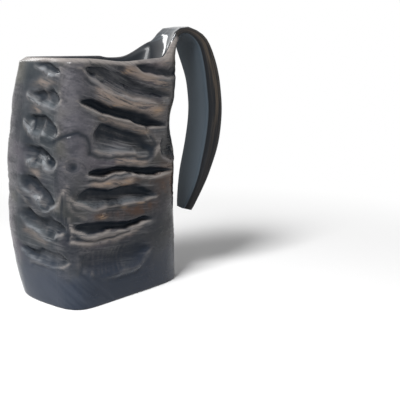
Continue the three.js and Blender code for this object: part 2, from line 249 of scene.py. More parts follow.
STRIP_LINE, STRIP_LENGTH = smooth_line(centre_points(), LINE_SAMPLES)
STRIP_SHARES = np.linspace(0.0, 1.0, len(STRIP_LINE))
rise = np.gradient(STRIP_LINE, axis=0)
STRIP_SLOPE = rise / np.linalg.norm(rise, axis=1)[:, None]
print("strip length", round(STRIP_LENGTH, 1), "mm")

# %% Points of the strip


def on_line(line, share):
    return np.array([np.interp(share, STRIP_SHARES, line[:, i]) for i in range(2)])


def rising_share(z):
    """How far along the strip lies at height z, on its way up from the rim."""
    top = int(STRIP_LINE[:, 1].argmax())
    return float(np.interp(z, STRIP_LINE[: top + 1, 1], STRIP_SHARES[: top + 1]))


def strip_half_width(share):
    half = lerp(HANDLE_WIDTH, TIP_WIDTH, smoothstep(share, TAPER_SHARE, 1.0)) / 2
    past = np.clip((share - TIP_START) / (1.0 - TIP_START), 0.0, 1.0)
    return half * math.sqrt(1.0 - TIP_ROUNDING * past * past)


def in_and_out(share, rise, fall):
    """0 at first, 1 after the first span, and 0 again after the second."""
    return float(smoothstep(share, *rise) * (1 - smoothstep(share, *fall)))


def strip_point(share, side, through):
    """side runs from -1 at the near edge to 1 at the far edge, through from -0.5 on top to 0.5 below."""
    theta = math.radians(lerp(ROOT_NEAR, ROOT_FAR, (side + 1) / 2))
    middle = section_radius(theta, BODY_HEIGHT, LIP_WALL / 2, CORNER_POWER)
    x, z = on_line(STRIP_LINE, share)
    walled = round_point(middle + through * ROOT_THICKNESS, theta, z)
    slope_x, slope_z = on_line(STRIP_SLOPE, share)
    thick = strip_thickness(share) * (1.0 - EDGE_THINNING * side**4)
    twist = ARCH_TWIST * (side + 1) / 2 * in_and_out(share, TWIST_IN, TWIST_OUT)
    flat = Vector((x - twist, POLE_Y + HANDLE_SIDE + side * strip_half_width(share), z))
    cupped = CUP_DEPTH * in_and_out(share, CUP_IN, CUP_OUT) * (1.0 - side * side) * (0.5 - through)
    flat += Vector((slope_z, 0.0, -slope_x)) * (through * thick + cupped)
    return walled.lerp(flat, float(smoothstep(share, ROOT_SHARE, FLAT_SHARE)))


print("arch of the strip at", [round(v, 1) for v in strip_point(0.2, 0, -0.5)])

# %% [markdown]
# ## Wall, bore and climbing rim
# The bore is rounder than the outside and the wall thins towards the lip. The rim sags a little over the
# broad face. Beside the strip it climbs into the handle, a little more steeply from the front than from
# the back, and leans outwards with it. These functions place any point of the wall from its column angle,
# its height and whether it lies on the outside (1) or in the bore (0).

# %% Points of the wall
WALL = 8.0
LIP_TAPER = 22.0
CORNER_RELIEF = 4.0
RELIEF_SPREAD = 12.0
MIN_WALL = 2.4
CLIMB_RISE = 12.0
CLIMB_DEPTH = 34.0
CLIMB_NEAR = (-12.0, -6.0)
CLIMB_FAR = (34.0, 22.5)
LEAN_START = 141.0
RIM_DIP = 2.7
DIP_CENTRE = -52.0
DIP_SPREAD = 36.0
DIP_REACH = 16.0


def rim_dip(degrees):
    """How far the rim sags on the broad face before it climbs."""
    return RIM_DIP * np.exp(-(((degrees - DIP_CENTRE) / DIP_SPREAD) ** 2))


def bore_radius(theta, z):
    thinning = smoothstep(z, BODY_HEIGHT - LIP_TAPER, BODY_HEIGHT)
    away = (signed_degrees(theta) - ROOT_NEAR) / RELIEF_SPREAD
    relief = CORNER_RELIEF * thinning * np.exp(-(away**2))
    return section_radius(theta, z, lerp(WALL, LIP_WALL, thinning), BORE_POWER) + relief


def outside_radius(theta, z):
    return section_radius(theta, z, 0.0, CORNER_POWER)


def handle_pull(degrees):
    """1 in the columns of the strip, fading to 0 on both sides of it."""
    far_start, far_full = CLIMB_FAR
    return smoothstep(degrees, *CLIMB_NEAR) * smoothstep(-degrees, -far_start, -far_full)


def wall_point(theta, across, z):
    degrees = signed_degrees(theta)
    pull = handle_pull(degrees)
    climb = CLIMB_RISE * pull * smoothstep(z, BODY_HEIGHT - CLIMB_DEPTH, BODY_HEIGHT) ** 2
    sag = rim_dip(degrees) * (1.0 - pull) * smoothstep(z, BODY_HEIGHT - DIP_REACH, BODY_HEIGHT)
    radius = lerp(bore_radius(theta, z), outside_radius(theta, z), across)
    point = round_point(radius, theta, z + climb - sag)
    side = float(np.clip(2 * (degrees - ROOT_NEAR) / (ROOT_FAR - ROOT_NEAR) - 1, -1, 1))
    still = strip_point(0.0, side, across - 0.5)
    bent = strip_point(rising_share(point.z), side, across - 0.5)
    lean = Vector((bent.x - still.x, bent.y - still.y, 0.0))
    return point + lean * float(pull * smoothstep(point.z, LEAN_START, BODY_HEIGHT))


print("rim beside the strip at", [round(v, 1) for v in wall_point(0.0, 1, BODY_HEIGHT)])

# %% [markdown]
# ## A cage of rings
# The horn is one closed skin: up the outside, over the lip, down the bore and round the rebate in the
# foot. A circle of edges is laid on the first outline and extruded ring by ring, and the last ring is
# bridged to the first. Ten of the columns lie exactly between the strip's two edges, so that the strip
# can grow out of the lip. Number layers on the vertices remember where each one lies.

# %% Columns of the cage
STRIP_COLUMNS = 10
WALL_COLUMNS = 58
OUTLINE_SAMPLES = 4000


def column_angles():
    """The strip's columns, then the rest, spaced evenly along the outline of the belly."""
    sweep = np.radians(np.linspace(ROOT_FAR, ROOT_NEAR + 360.0, OUTLINE_SAMPLES))
    radius = outside_radius(sweep, BELLY_HEIGHT)
    outline = np.stack([radius * np.cos(sweep), radius * np.sin(sweep)], axis=1)
    length = run_lengths(outline)
    even = np.interp(np.linspace(0.0, length[-1], WALL_COLUMNS + 1), length, sweep)
    strip = np.radians(np.linspace(ROOT_NEAR, ROOT_FAR, STRIP_COLUMNS + 1))
    return np.concatenate([strip, even[1:-1]])


COLUMNS = column_angles()
print(len(COLUMNS), "columns")

# %% Rings, made by extruding a circle
NUMBERS = ("outside", "bore", "along", "across", "through")


def new_cage(columns):
    """A bmesh with a circle of edges, and layers that travel with each extrusion."""
    cage = bmesh.new()
    column = cage.verts.layers.int.new("column")
    cage.edges.layers.float.new("crease_edge")
    for name in NUMBERS:
        cage.verts.layers.float.new(name)
    circle = bmesh.ops.create_circle(cage, segments=columns, radius=1.0)["verts"]
    for i, vert in enumerate(circle):
        vert[column] = i
    return cage, circle, cage.edges[:]


def next_ring(cage, edges):
    made = bmesh.ops.extrude_edge_only(cage, edges=edges)["geom"]
    verts = [part for part in made if isinstance(part, bmesh.types.BMVert)]
    fresh = set(verts)
    ring = [part for part in made if isinstance(part, bmesh.types.BMEdge) and fresh.issuperset(part.verts)]
    return verts, ring


def crease(cage, edges):
    sharpness = cage.edges.layers.float["crease_edge"]
    for edge in edges:
        edge[sharpness] = 1.0


# %% Stations of the horn's skin
PLUG_THICKNESS = 9.0
SHOULDER = 3.0
FIT_GAP = 0.3
FOOT_EDGE = 1.2
REBATE_TOP = PLUG_THICKNESS + FIT_GAP
LIP_DROP = 2.2
LIP_CROWN = 0.5
OUTSIDE_RINGS = 52
BORE_STATIONS = (143.0, 133.0, 117.0, 92.0, 62.0, 32.0, 14.0)


def socket_radius(theta):
    return section_radius(theta, 0.0, WALL - SHOULDER, BORE_POWER)


def horn_stations():
    """Each station: a function from a column angle to its point, and its outside and bore numbers."""
    stations = [
        (lambda theta: round_point(socket_radius(theta), theta, REBATE_TOP), 0, 0),
        (lambda theta: round_point(socket_radius(theta), theta, 0.0), 0, 0),
        (lambda theta: round_point(outside_radius(theta, 0.0) - FOOT_EDGE, theta, 0.0), 0, 0),
        (lambda theta: round_point(outside_radius(theta, 0.0) - FOOT_EDGE / 4, theta, FOOT_EDGE / 4), 1, 0),
    ]
    for z in np.linspace(FOOT_EDGE, BODY_HEIGHT - LIP_DROP, OUTSIDE_RINGS):
        stations.append((lambda theta, z=z: wall_point(theta, 1, z), 1, 0))
    stations.append((lambda theta: wall_point(theta, 0.5, BODY_HEIGHT + LIP_CROWN), 0, 0))
    stations.append((lambda theta: wall_point(theta, 0, BODY_HEIGHT - LIP_DROP), 0, 1))
    for z in BORE_STATIONS:
        stations.append((lambda theta, z=z: wall_point(theta, 0, z), 0, 1))
    stations.append((lambda theta: round_point(bore_radius(theta, REBATE_TOP), theta, REBATE_TOP), 0, 1))
    return stations


# %% Build the cage
cage, verts, edges = new_cage(len(COLUMNS))
column = cage.verts.layers.int["column"]
layer = {name: cage.verts.layers.float[name] for name in NUMBERS}
first_edges = edges
stations = horn_stations()
# After the crown of the lip come its inner edge, the rings of the bore and the rebate.
crown_number = len(stations) - len(BORE_STATIONS) - 3
sharp_rings = (0, 1, len(stations) - 1)
lip_rings = {}
for number, (place, outside_share, bore_share) in enumerate(stations):
    if number:
        verts, edges = next_ring(cage, edges)
    for vert in verts:
        vert.co = place(COLUMNS[vert[column]])
        vert[layer["outside"]] = outside_share
        vert[layer["bore"]] = bore_share
    from_crown = number - crown_number
    if abs(from_crown) <= 1:
        lip_rings.update({vert: -0.5 * from_crown for vert in verts})
    if number in sharp_rings:
        crease(cage, edges)
bmesh.ops.bridge_loops(cage, edges=first_edges + edges)
print("cage:", len(cage.verts), "vertices in", len(stations), "rings")

# %% [markdown]
# ## Growing the handle out of the lip
# The faces of the lip between the strip's two edges are picked and extruded again and again, and each
# new patch is set on the strip's formula. The strip and the wall stay one skin, as they are one piece
# of horn, so the subdivision that follows rounds the root by itself. Two spots at the root are eased by
# averaging each point with its neighbours: the far corner, and the saddle that faces the bore.

# %% Grow the strip
STRIP_STEPS = 40
ROOT_BOTTOM = 120.0
ROOT_REACH = 0.16
CORNER_BOTTOM = 136.0
CORNER_TURN = (14.0, 46.0)
SADDLE_TURN = (-6.0, 60.0)
CORNER_ROUNDS = 2
SADDLE_ROUNDS = 6


def lip_patch(cage):
    """The faces on top of the lip between the strip's edges."""
    faces = []
    for face in cage.faces:
        if all(vert in lip_rings and vert[column] <= STRIP_COLUMNS for vert in face.verts):
            faces.append(face)
    return faces


root_share = rising_share(BODY_HEIGHT + CLIMB_RISE)
patch = lip_patch(cage)
for vert in {vert for face in patch for vert in face.verts}:
    vert[layer["through"]] = lip_rings[vert]
for share in np.linspace(root_share, 1.0, STRIP_STEPS + 1)[1:]:
    patch_edges = {edge for face in patch for edge in face.edges}
    made = bmesh.ops.extrude_face_region(cage, geom=patch + list(patch_edges))["geom"]
    patch = [part for part in made if isinstance(part, bmesh.types.BMFace)]
    for vert in (part for part in made if isinstance(part, bmesh.types.BMVert)):
        side = 2 * vert[column] / STRIP_COLUMNS - 1
        vert.co = strip_point(share, side, vert[layer["through"]])
        vert[layer["along"]] = share
        vert[layer["across"]] = side
        vert[layer["outside"]] = 0.0
        vert[layer["bore"]] = 0.0


def eased(verts, rounds):
    axes = {"use_axis_x": True, "use_axis_y": True, "use_axis_z": True}
    for _ in range(rounds):
        bmesh.ops.smooth_vert(cage, verts=verts, factor=0.5, **axes)


def turned_within(vert, low, high):
    return low < math.degrees(math.atan2(vert.co.y - POLE_Y, vert.co.x - POLE_X)) < high


near_root = [vert for vert in cage.verts if vert.co.z > ROOT_BOTTOM and vert[layer["along"]] < ROOT_REACH]
upper_root = [vert for vert in near_root if vert.co.z > CORNER_BOTTOM]
far_corner = [vert for vert in upper_root if turned_within(vert, *CORNER_TURN)]
saddle = [vert for vert in near_root if vert[layer["bore"]] and turned_within(vert, *SADDLE_TURN)]
eased(far_corner, CORNER_ROUNDS)
eased(saddle, SADDLE_ROUNDS)
bmesh.ops.recalc_face_normals(cage, faces=cage.faces)
print("cage with strip:", len(cage.verts), "vertices")

# %% Smooth the cage into a skin
SMOOTH_LEVEL = 2


def piece_from(bm, name):
    """Turns a bmesh in millimetres into a mesh object in metres, at the origin."""
    mesh = bpy.data.meshes.new(name)
    bm.to_mesh(mesh)
    bm.free()
    mesh.transform(Matrix.Scale(MM, 4))
    piece = bpy.data.objects.new(name, mesh)
    scene.collection.objects.link(piece)
    return piece


def applied(piece):
    """Makes the modifiers' result the piece's own mesh."""
    result = piece.evaluated_get(bpy.context.evaluated_depsgraph_get())
    piece.data = bpy.data.meshes.new_from_object(result)
    piece.modifiers.clear()


horn = piece_from(cage, "horn_tankard")
smooth = horn.modifiers.new("smooth", "SUBSURF")
smooth.levels = SMOOTH_LEVEL
smooth.render_levels = SMOOTH_LEVEL
applied(horn)
horn.data.shade_smooth()
print("skin:", len(horn.data.polygons), "faces", [a.name for a in horn.data.attributes])

# %% [markdown]
# ## Growth furrows
# A horn grows in rings, and its hollows are the part that everyone looks at. A displacement texture
# would scatter them anywhere, so each one is placed one by one, as a carver would mark it: stations run
# along it, each an angle round the pole with the heights of the upper and the lower edge. Between the
# edges the wall sinks, in many of them steeply under the brow and gently over the floor. Below most
# hollows a thin lip stands proud over a dark undercut, and below all of them the horn swells into a
# crest. Noise makes the edges wander, most of all on the narrow face, whose pits are the roughest.

# %% Hollows of the broad front face


# In each hollow, dark is the strength of the painted shade in its upper part, and lit that of the painted
# light on its floor.
def furrow(stations, depth, floor, brow, dark=0.0, lit=0.0, lip=0.0, fade=6.0):
    """Floor and brow are the shares of the height over which it sinks; fade is its soft end in degrees."""
    return {
        "stations": stations, "depth": depth, "floor": floor, "brow": brow,
        "dark": dark, "lit": lit, "lip": lip, "fade": fade,
    }


# Each station: an angle round the pole, then the heights of the upper and the lower edge.
BROAD_HOLLOWS = [
    furrow(
        [(-55, 147, 146.6), (-43, 147.7, 145), (-30, 147, 140.4), (-15, 143, 137.3), (-3, 139, 138)],
        depth=3.0, floor=0.4, brow=0.3, dark=0.7, lip=0.2,
    ),
    furrow(
        [(-108, 145.4, 144), (-99, 145.6, 139.5), (-79, 143.6, 131), (-55, 140.2, 127.4),
         (-38, 136.2, 125), (-22, 131, 122.8), (-10, 125.5, 123.5)],
        depth=4.4, floor=0.8, brow=0.14, dark=0.5, lip=0.1,
    ),
    furrow(
        [(-113, 125.4, 124.4), (-101, 126.3, 121), (-80, 122.6, 115.6), (-54, 118.9, 111.2),
         (-31, 114.8, 106.5), (-13, 107.6, 105.6)],
        depth=4.8, floor=0.3, brow=0.4, dark=1.0, lip=0.6,
    ),
    furrow(
        [(-104, 101, 98), (-95, 111, 93.5), (-75, 110, 92), (-49, 105, 89.8), (-33, 99.7, 86.5),
         (-27, 92.5, 90.5)],
        depth=4.6, floor=0.75, brow=0.16, dark=0.85, lit=0.45, lip=0.4, fade=14.0,
    ),
    furrow(
        [(-24, 92.5, 91), (-19, 98, 86), (-13, 98, 83.5), (-6, 93, 87)],
        depth=2.6, floor=0.5, brow=0.4, dark=0.25, lit=0.4,
    ),
    furrow(
        [(-108, 82.4, 81.6), (-94, 85.2, 79.2), (-81, 85.4, 79.8), (-64, 84.5, 80.2),
         (-45, 82.8, 77.6), (-30, 81.4, 75.4), (-11, 77, 76)],
        depth=4.6, floor=0.35, brow=0.4, dark=1.0,
    ),
    furrow(
        [(-116, 70, 68.5), (-108, 73.5, 63.5), (-84, 71, 59.8), (-58, 72.2, 60.5), (-34, 68.3, 60.5),
         (-25, 62.4, 61.4)],
        depth=4.8, floor=0.6, brow=0.2, dark=0.85, lit=0.8, lip=0.7, fade=9.0,
    ),
    furrow(
        [(-118, 51, 49.8), (-108, 53.6, 45.8), (-85, 51.8, 44.9), (-59, 49.7, 44.5), (-38, 49.8, 46),
         (-26, 47.5, 46.5)],
        depth=3.8, floor=0.38, brow=0.35, dark=0.95, lit=0.2, lip=0.4,
    ),
    furrow(
        [(-114, 30, 27), (-101, 35.9, 18.6), (-86, 35.5, 17.2), (-67, 35, 19), (-46, 35.2, 20),
         (-33, 30, 27)],
        depth=2.6, floor=0.45, brow=0.4, dark=0.75, lit=0.1, lip=0.3, fade=9.0,
    ),
]
print(len(BROAD_HOLLOWS), "hollows on the broad face")

# %% Hollows of the narrow front face
NARROW_HOLLOWS = [
    furrow(
        [(-166, 147.4, 146.6), (-155, 149, 144.8), (-145, 149, 142), (-135, 147, 139),
         (-126, 142, 140)],
        depth=2.6, floor=0.62, brow=0.25, dark=0.3, lit=0.45, lip=0.4, fade=20.0,
    ),
    furrow(
        [(-168, 129, 128), (-155, 131.2, 124.4), (-142, 131.9, 121.8), (-132, 131.3, 122),
         (-125, 127, 125)],
        depth=3.0, floor=0.7, brow=0.22, dark=0.25, lit=0.5, lip=0.4, fade=20.0,
    ),
    furrow(
        [(-173, 112, 111), (-167, 116.4, 108), (-157, 117.4, 103.3), (-142, 115.7, 103.7),
         (-132, 113.3, 104.5), (-126, 108.5, 107)],
        depth=3.4, floor=0.7, brow=0.22, dark=0.4, lit=0.65, lip=0.4, fade=20.0,
    ),
    furrow(
        [(-175, 94, 93), (-168, 97.8, 89), (-158, 99.3, 87), (-144, 97.2, 86.4), (-136, 94.8, 85.3),
         (-129, 89, 87.6)],
        depth=3.8, floor=0.65, brow=0.25, dark=0.7, lit=0.65, lip=0.4, fade=20.0,
    ),
    furrow(
        [(-181, 75.5, 74.5), (-164, 80.4, 68), (-154, 79.5, 65), (-144, 75.5, 59), (-136, 72, 58.8),
         (-130, 65.4, 63.6)],
        depth=3.8, floor=0.5, brow=0.3, dark=0.7, lit=0.1, lip=0.5, fade=20.0,
    ),
    furrow(
        [(-179, 56, 55), (-164, 61.2, 48.3), (-154, 57.3, 46), (-144, 55.9, 43.5), (-135, 55.9, 43.5),
         (-128, 54.3, 45), (-121, 49.4, 48)],
        depth=3.6, floor=0.45, brow=0.35, dark=0.7, lit=0.45, lip=0.4, fade=20.0,
    ),
    furrow(
        [(-181, 38.5, 37.5), (-163, 36.8, 28.8), (-151, 36.4, 27.8), (-138, 37.5, 25.3),
         (-127, 37.2, 25.7), (-119, 31, 29.6)],
        depth=2.6, floor=0.4, brow=0.45, dark=0.5, lit=0.2, lip=0.5, fade=20.0,
    ),
]
print(len(NARROW_HOLLOWS), "hollows on the narrow face")

# %% Hollows of the back
BACK_HOLLOWS = [
    furrow(
        [(24, 130, 129), (45, 134, 127), (85, 136, 130), (116, 135, 128.5), (139, 131, 130)],
        depth=2.4, floor=0.5, brow=0.4, dark=0.7, lit=0.4, lip=0.3,
    ),
    furrow(
        [(16, 110, 109), (40, 114, 107), (85, 118, 111), (118, 116, 108), (142, 111, 110)],
        depth=3.0, floor=0.5, brow=0.4, dark=0.8, lit=0.4, lip=0.4,
    ),
    furrow(
        [(20, 90, 89), (44, 93, 85.5), (85, 98, 90), (118, 97, 88), (141, 92, 91)],
        depth=3.0, floor=0.55, brow=0.4, dark=0.8, lit=0.4, lip=0.4,
    ),
    furrow(
        [(17, 72, 71), (46, 75, 67), (85, 78, 70), (116, 76, 68), (143, 71, 70)],
        depth=2.8, floor=0.5, brow=0.4, dark=0.8, lit=0.4, lip=0.4,
    ),
    furrow(
        [(24, 53, 52), (52, 57, 49.5), (85, 59, 51.5), (116, 57, 50), (141, 53, 52)],
        depth=2.4, floor=0.5, brow=0.45, dark=0.7, lit=0.3, lip=0.3,
    ),
    furrow(
        [(30, 35.5, 34.5), (60, 39, 32), (90, 41, 34), (120, 39, 33), (148, 36, 35)],
        depth=1.7, floor=0.5, brow=0.5, dark=0.5, lit=0.2, lip=0.2,
    ),
]
WAIST = furrow(
    [(-40, 108, 106), (-24, 122, 92), (-4, 126, 88), (14, 122, 92), (30, 108, 106)],
    depth=2.9, floor=0.5, brow=0.5,
)
HOLLOWS = BROAD_HOLLOWS + NARROW_HOLLOWS + BACK_HOLLOWS
print(len(HOLLOWS), "hollows in all, and a waist")

# %% Shape of one hollow
CREST_WIDTH = 4.0
CREST_OVERLAP = 0.12
LIP_HALF = 0.9
UNDER_DROP = 1.8
LEAST_GAP = 0.2
CLOSED_GAP = 0.4
OPEN_SHARE = 0.55


def bell(distance, half):
    return np.exp(-((distance / half) ** 2))


def patch_at(spec, degrees, z):
    """A soft oval spot. Its spec: angle, height, half width in degrees and half height."""
    angle, middle, wide, tall = spec
    return bell(degrees - angle, wide) * bell(z - middle, tall)


def press_hollow(hollow, degrees, z):
    """What one hollow does at every point, as shares by name, and how far up it the point lies."""
    angles, uppers, lowers = np.array(hollow["stations"], float).T
    upper = through_points(degrees, angles, uppers)
    lower = through_points(degrees, angles, lowers)
    gap = np.maximum(upper - lower, LEAST_GAP)
    widest = (uppers - lowers).max()
    within = smoothstep(degrees, angles[0], angles[0] + hollow["fade"]) * (degrees < angles[-1])
    opening = smoothstep(gap, CLOSED_GAP, OPEN_SHARE * widest) * within
    climb = (z - lower) / gap
    slopes = smoothstep(climb, 0.0, hollow["floor"]) * smoothstep(1.0 - climb, 0.0, hollow["brow"])
    below = np.clip((lower - z) / CREST_WIDTH + CREST_OVERLAP, 0.0, 1.0)
    return {
        "pit": slopes * opening,
        "skirt": bell(z - (upper + lower) / 2, (gap + widest) / 2) * opening,
        "crest": (4.0 * below * (1.0 - below)) ** 2 * opening,
        "lip": bell(z - lower, LIP_HALF) * opening,
        "under": bell(lower - UNDER_DROP - z, LIP_HALF) * opening,
        "climb": climb,
    }


# %% Read and write the skin


def skin_points(piece):
    points = np.empty(len(piece.data.vertices) * 3)
    piece.data.vertices.foreach_get("co", points)
    return points.reshape(-1, 3) / MM


def numbers_of(piece, name):
    values = np.empty(len(piece.data.vertices))
    piece.data.attributes[name].data.foreach_get("value", values)
    return values


def keep_numbers(piece, name, values):
    kept = piece.data.attributes.get(name) or piece.data.attributes.new(name, "FLOAT", "POINT")
    kept.data.foreach_set("value", values)


def evened(piece, values, rounds):
    """Values averaged with those of the neighbouring points, a few times over."""
    ends = np.empty(len(piece.data.edges) * 2, dtype=np.int32)
    piece.data.edges.foreach_get("vertices", ends)
    first, second = ends.reshape(-1, 2).T
    count = np.bincount(ends, minlength=len(values))
    for _ in range(rounds):
        total = np.bincount(first, values[second], len(values))
        total = total + np.bincount(second, values[first], len(values))
        values = 0.5 * values + 0.5 * total / count
    return values


def lumps(points, size, shift):
    """Smooth noise between -1 and 1 that changes over the given size in millimetres."""
    return np.array([noise.noise(Vector(point) / size + Vector((shift, 0, 0))) for point in points])


# %% Let the edges wander
EDGE_WANDER = 1.0
ANGLE_WANDER = 2.0
NARROW_WANDER = 1.3
RIM_BAND = 5.0
BACK_SEAM = 190.0
NARROW_START = (122.0, 134.0)
NARROW_END = (172.0, 189.0)
# Each noise: its size in millimetres and its shift.
LONG_WANDER = (15.0, 3.0)
SHORT_WANDER = (6.0, 8.0)
SIDE_WANDER = (11.0, 21.0)
SHORT_SHARE = 0.7

points = skin_points(horn)
theta = np.arctan2(points[:, 1] - POLE_Y, points[:, 0] - POLE_X)
degrees = (np.degrees(theta) + BACK_SEAM) % 360.0 - BACK_SEAM
height = points[:, 2].copy()
on_outside = smoothstep(numbers_of(horn, "outside"), 0.5, 1.0)
below_rim = BODY_HEIGHT - rim_dip(degrees) - height
calm = on_outside * smoothstep(below_rim, 0.0, RIM_BAND)
narrow = smoothstep(-degrees, *NARROW_START) * (1.0 - smoothstep(-degrees, *NARROW_END))
rougher = 1.0 + NARROW_WANDER * narrow
up_and_down = lumps(points, *LONG_WANDER) + SHORT_SHARE * lumps(points, *SHORT_WANDER)
wander_height = height + EDGE_WANDER * rougher * up_and_down
wander_degrees = degrees + ANGLE_WANDER * rougher * lumps(points, *SIDE_WANDER)
print("edges wander by up to", round(float(np.abs(wander_height - height).max()), 1), "mm")

# %% Press the hollows into the wall
# Shares of a hollow's height between which painted shade darkens it, and between which its floor is painted
# light.
SHADE_BOTTOM = 0.2
SHADE_TOP = 1.2
SHADE_FALL = 0.4
SHADE_SKIRT = (0.1, 0.6)
DARK_AT_FLOOR = 0.6
DARK_SPAN = 0.4
LIGHT_RISE = (-0.02, 0.1)
LIGHT_FALL = (0.14, 0.42)
LIGHT_SKIRT = (0.1, 0.5)

sunk, skirt, shade, floor_light, crest, lip, under = (np.zeros(len(points)) for _ in range(7))
for hollow in HOLLOWS:
    one = press_hollow(hollow, wander_degrees, wander_height)
    up = one["climb"]
    sunk = np.maximum(sunk, hollow["depth"] * one["pit"])
    skirt = np.maximum(skirt, hollow["depth"] * one["skirt"])
    crest = np.maximum(crest, one["crest"])
    lip = np.maximum(lip, hollow["lip"] * one["lip"])
    under = np.maximum(under, hollow["lip"] * one["under"])
    inside = smoothstep(up, 0.0, SHADE_BOTTOM) * smoothstep(SHADE_TOP - up, 0.0, SHADE_FALL)
    inside = inside * smoothstep(one["skirt"], *SHADE_SKIRT)
    dark_from = DARK_AT_FLOOR * hollow["floor"] - DARK_SPAN / 2
    # Painted shade: the upper part of each hollow, under its brow, is darkened in colour.
    shade = np.maximum(shade, hollow["dark"] * inside * smoothstep(up, dark_from, dark_from + DARK_SPAN))
    # Painted light: the lower part of each hollow, which faces up, is lightened in colour.
    lower_part = smoothstep(up, *LIGHT_RISE) * (1.0 - smoothstep(up, *LIGHT_FALL))
    floor_light = np.maximum(floor_light, hollow["lit"] * lower_part * smoothstep(one["skirt"], *LIGHT_SKIRT))
waist = WAIST["depth"] * press_hollow(WAIST, wander_degrees, wander_height)["pit"]
print("deepest hollow", round(float(sunk.max()), 2), "mm")

# %% Height of the growth rings
# The rings lie lower towards the handle, and the more so the higher up they are.
RING_DROP = (10.0, 33.0)
RING_DROP_SPAN = (60.0, 130.0)
RING_TURN = 177.0

toward_handle = 0.5 - 0.5 * np.cos(theta + math.radians(RING_TURN))
ring_height = height + lerp(*RING_DROP, smoothstep(height, *RING_DROP_SPAN)) * toward_handle
print("ring heights up to", round(float(ring_height.max()), 1), "mm")

# %% [markdown]
# ## Folds, fine ridges and the knot
# Between the hollows the layers of horn show as thin creases and as fine pale ridges, where sanding has
# cut across them; their pale colour is partly paler horn and partly a painted glint of light. A few
# scratches run down the lowest hollow. Each is a path of straight steps drawn over the surface, with a
# half width and a depth; a depth below nought raises it. There is one round knot on the keel, the corner
# between the two front faces, with a ring about it.

# %% Creases, ridges and raised places
# Millimetres of surface to a degree.
ARC = 0.85
# Each fold: its steps as angle and height, its half width and its depth.
CREASES = [
    ([(-131, 103.1), (-122, 105.8), (-112, 106.9), (-106, 104.3), (-103, 99), (-102, 94.3)], 1.5, 0.7),
    ([(-102, 94.3), (-94, 91.6), (-77, 90.3), (-52, 89.2), (-34, 86.4), (-30, 88.6), (-27, 94.1),
      (-29, 99.4)], 1.1, 0.8),
    ([(-104, 78.2), (-92, 77), (-76, 79), (-55, 78.5)], 0.9, 1.6),
    ([(-110, 33), (-111, 22), (-98, 16.2), (-71, 14.5), (-49, 15)], 1.3, 0.7),
    ([(-124, 70), (-124, 56), (-122, 46)], 1.2, 0.7),
    ([(-120, 56), (-120, 43)], 1.0, 0.7),
    ([(-160, 24.4), (-142, 23.8), (-124, 24.6)], 1.2, 0.6),
    ([(-92, 138), (-89, 136.6), (-85, 136.4)], 0.9, 1.0),
    ([(-114, 43.6), (-101, 41.2), (-80, 41.2), (-58, 43)], 0.8, 0.7),
    ([(-150, 141.6), (-143, 140)], 1.2, 1.4),
    ([(-163, 113), (-161, 108.6)], 1.6, 1.2),
    ([(-149, 97.4), (-141, 92.4), (-134, 87)], 1.4, 1.2),
]
# The pale colour of these ridges is partly paler horn and partly a painted glint of light.
FINE_RIDGES = [
    ([(-103, 120.2), (-86, 116), (-67, 112.2), (-47, 108.4), (-31, 104.8)], 1.2, -0.5),
    ([(-88, 130.4), (-76, 129.4), (-62, 127.2), (-45, 124.8), (-24, 120)], 0.9, -0.6),
    ([(-93, 139.6), (-90, 138.2), (-85, 138)], 0.8, -0.5),
    ([(-110, 145.4), (-104, 145.8), (-100, 147)], 0.9, -0.4),
    ([(-97, 95), (-84, 93.4), (-68, 91.6), (-49, 91)], 0.9, -0.5),
    ([(-92, 79), (-76, 80.8), (-58, 80.2)], 0.8, -0.5),
    ([(-178, 70), (-164, 60.6), (-150, 57.8), (-136, 57.6), (-129, 63), (-122, 73.5)], 1.4, -0.5),
    ([(-120, 76.7), (-119, 70), (-117, 64), (-113, 58.5), (-107, 55.4)], 1.1, -0.25),
    ([(-117, 69.3), (-111, 63.4), (-102, 59.6), (-91, 57.4)], 1.0, -0.4),
    ([(-118, 56), (-118, 42.8)], 1.2, -0.2),
    ([(-117, 41.6), (-102, 40), (-85, 40), (-62, 41.6), (-40, 44.6)], 1.0, -0.6),
    ([(-110, 45), (-99, 42.8), (-78, 42.8), (-55, 44.2), (-36, 46.3)], 0.8, -0.5),
    ([(-161, 25.9), (-144, 26.2), (-134, 25.4), (-124, 26.7)], 0.9, -0.5),
    ([(-95, 17.1), (-73, 17.5), (-48, 18.5)], 0.9, -0.5),
    ([(-162, 144.7), (-152, 141.9), (-137, 138.6)], 1.3, -0.9),
    ([(-167, 128.1), (-159, 125.6), (-151, 124)], 1.5, -1.1),
    ([(-143, 130.8), (-139, 126.3)], 1.4, -0.8),
    ([(-174, 111.6), (-164, 105.4)], 1.7, -1.2),
    ([(-147, 110.5), (-143, 105.2)], 1.5, -0.9),
    ([(-165, 87.6), (-154, 93.1), (-145, 89.7), (-137, 85.7)], 1.6, -1.1),
    ([(-166, 73.6), (-155, 67.5), (-143, 62.6)], 1.5, -0.8),
    ([(-169, 54.2), (-155, 50.7), (-142, 47.2)], 1.5, -0.8),
]
SCRATCH_ANGLES = (-104, -99, -95, -90, -86, -81, -75, -68)
FINE_RIDGES += [([(angle, 20), (angle + 2, 34)], 0.8, -0.5) for angle in SCRATCH_ANGLES]
RAISED_PLACES = [
    ([(-6, 150), (-6, 136)], 7.0, -0.9),
    ([(-9, 88), (-9, 78)], 5.0, -1.2),
    ([(154, 122), (154, 88)], 9.0, -1.2),
]
print(len(CREASES), "creases and", len(FINE_RIDGES), "fine ridges")

# %% Draw the folds
KNOT = (-115.0, 87.3)
KNOT_DEPTH = 1.5
KNOT_HALF = 2.4
KNOT_STAIN = 2.2
KNOT_RING = 5.0
KNOT_RING_HEIGHT = 0.6
KNOT_RING_HALF = 1.6
# A painted highlight along the front of the rim.
RIM_HIGHLIGHT = (-76.0, 148.0, 38.0, 2.4)
RIM_HIGHLIGHT_SHARE = 0.7
FULL_LINE = 0.6


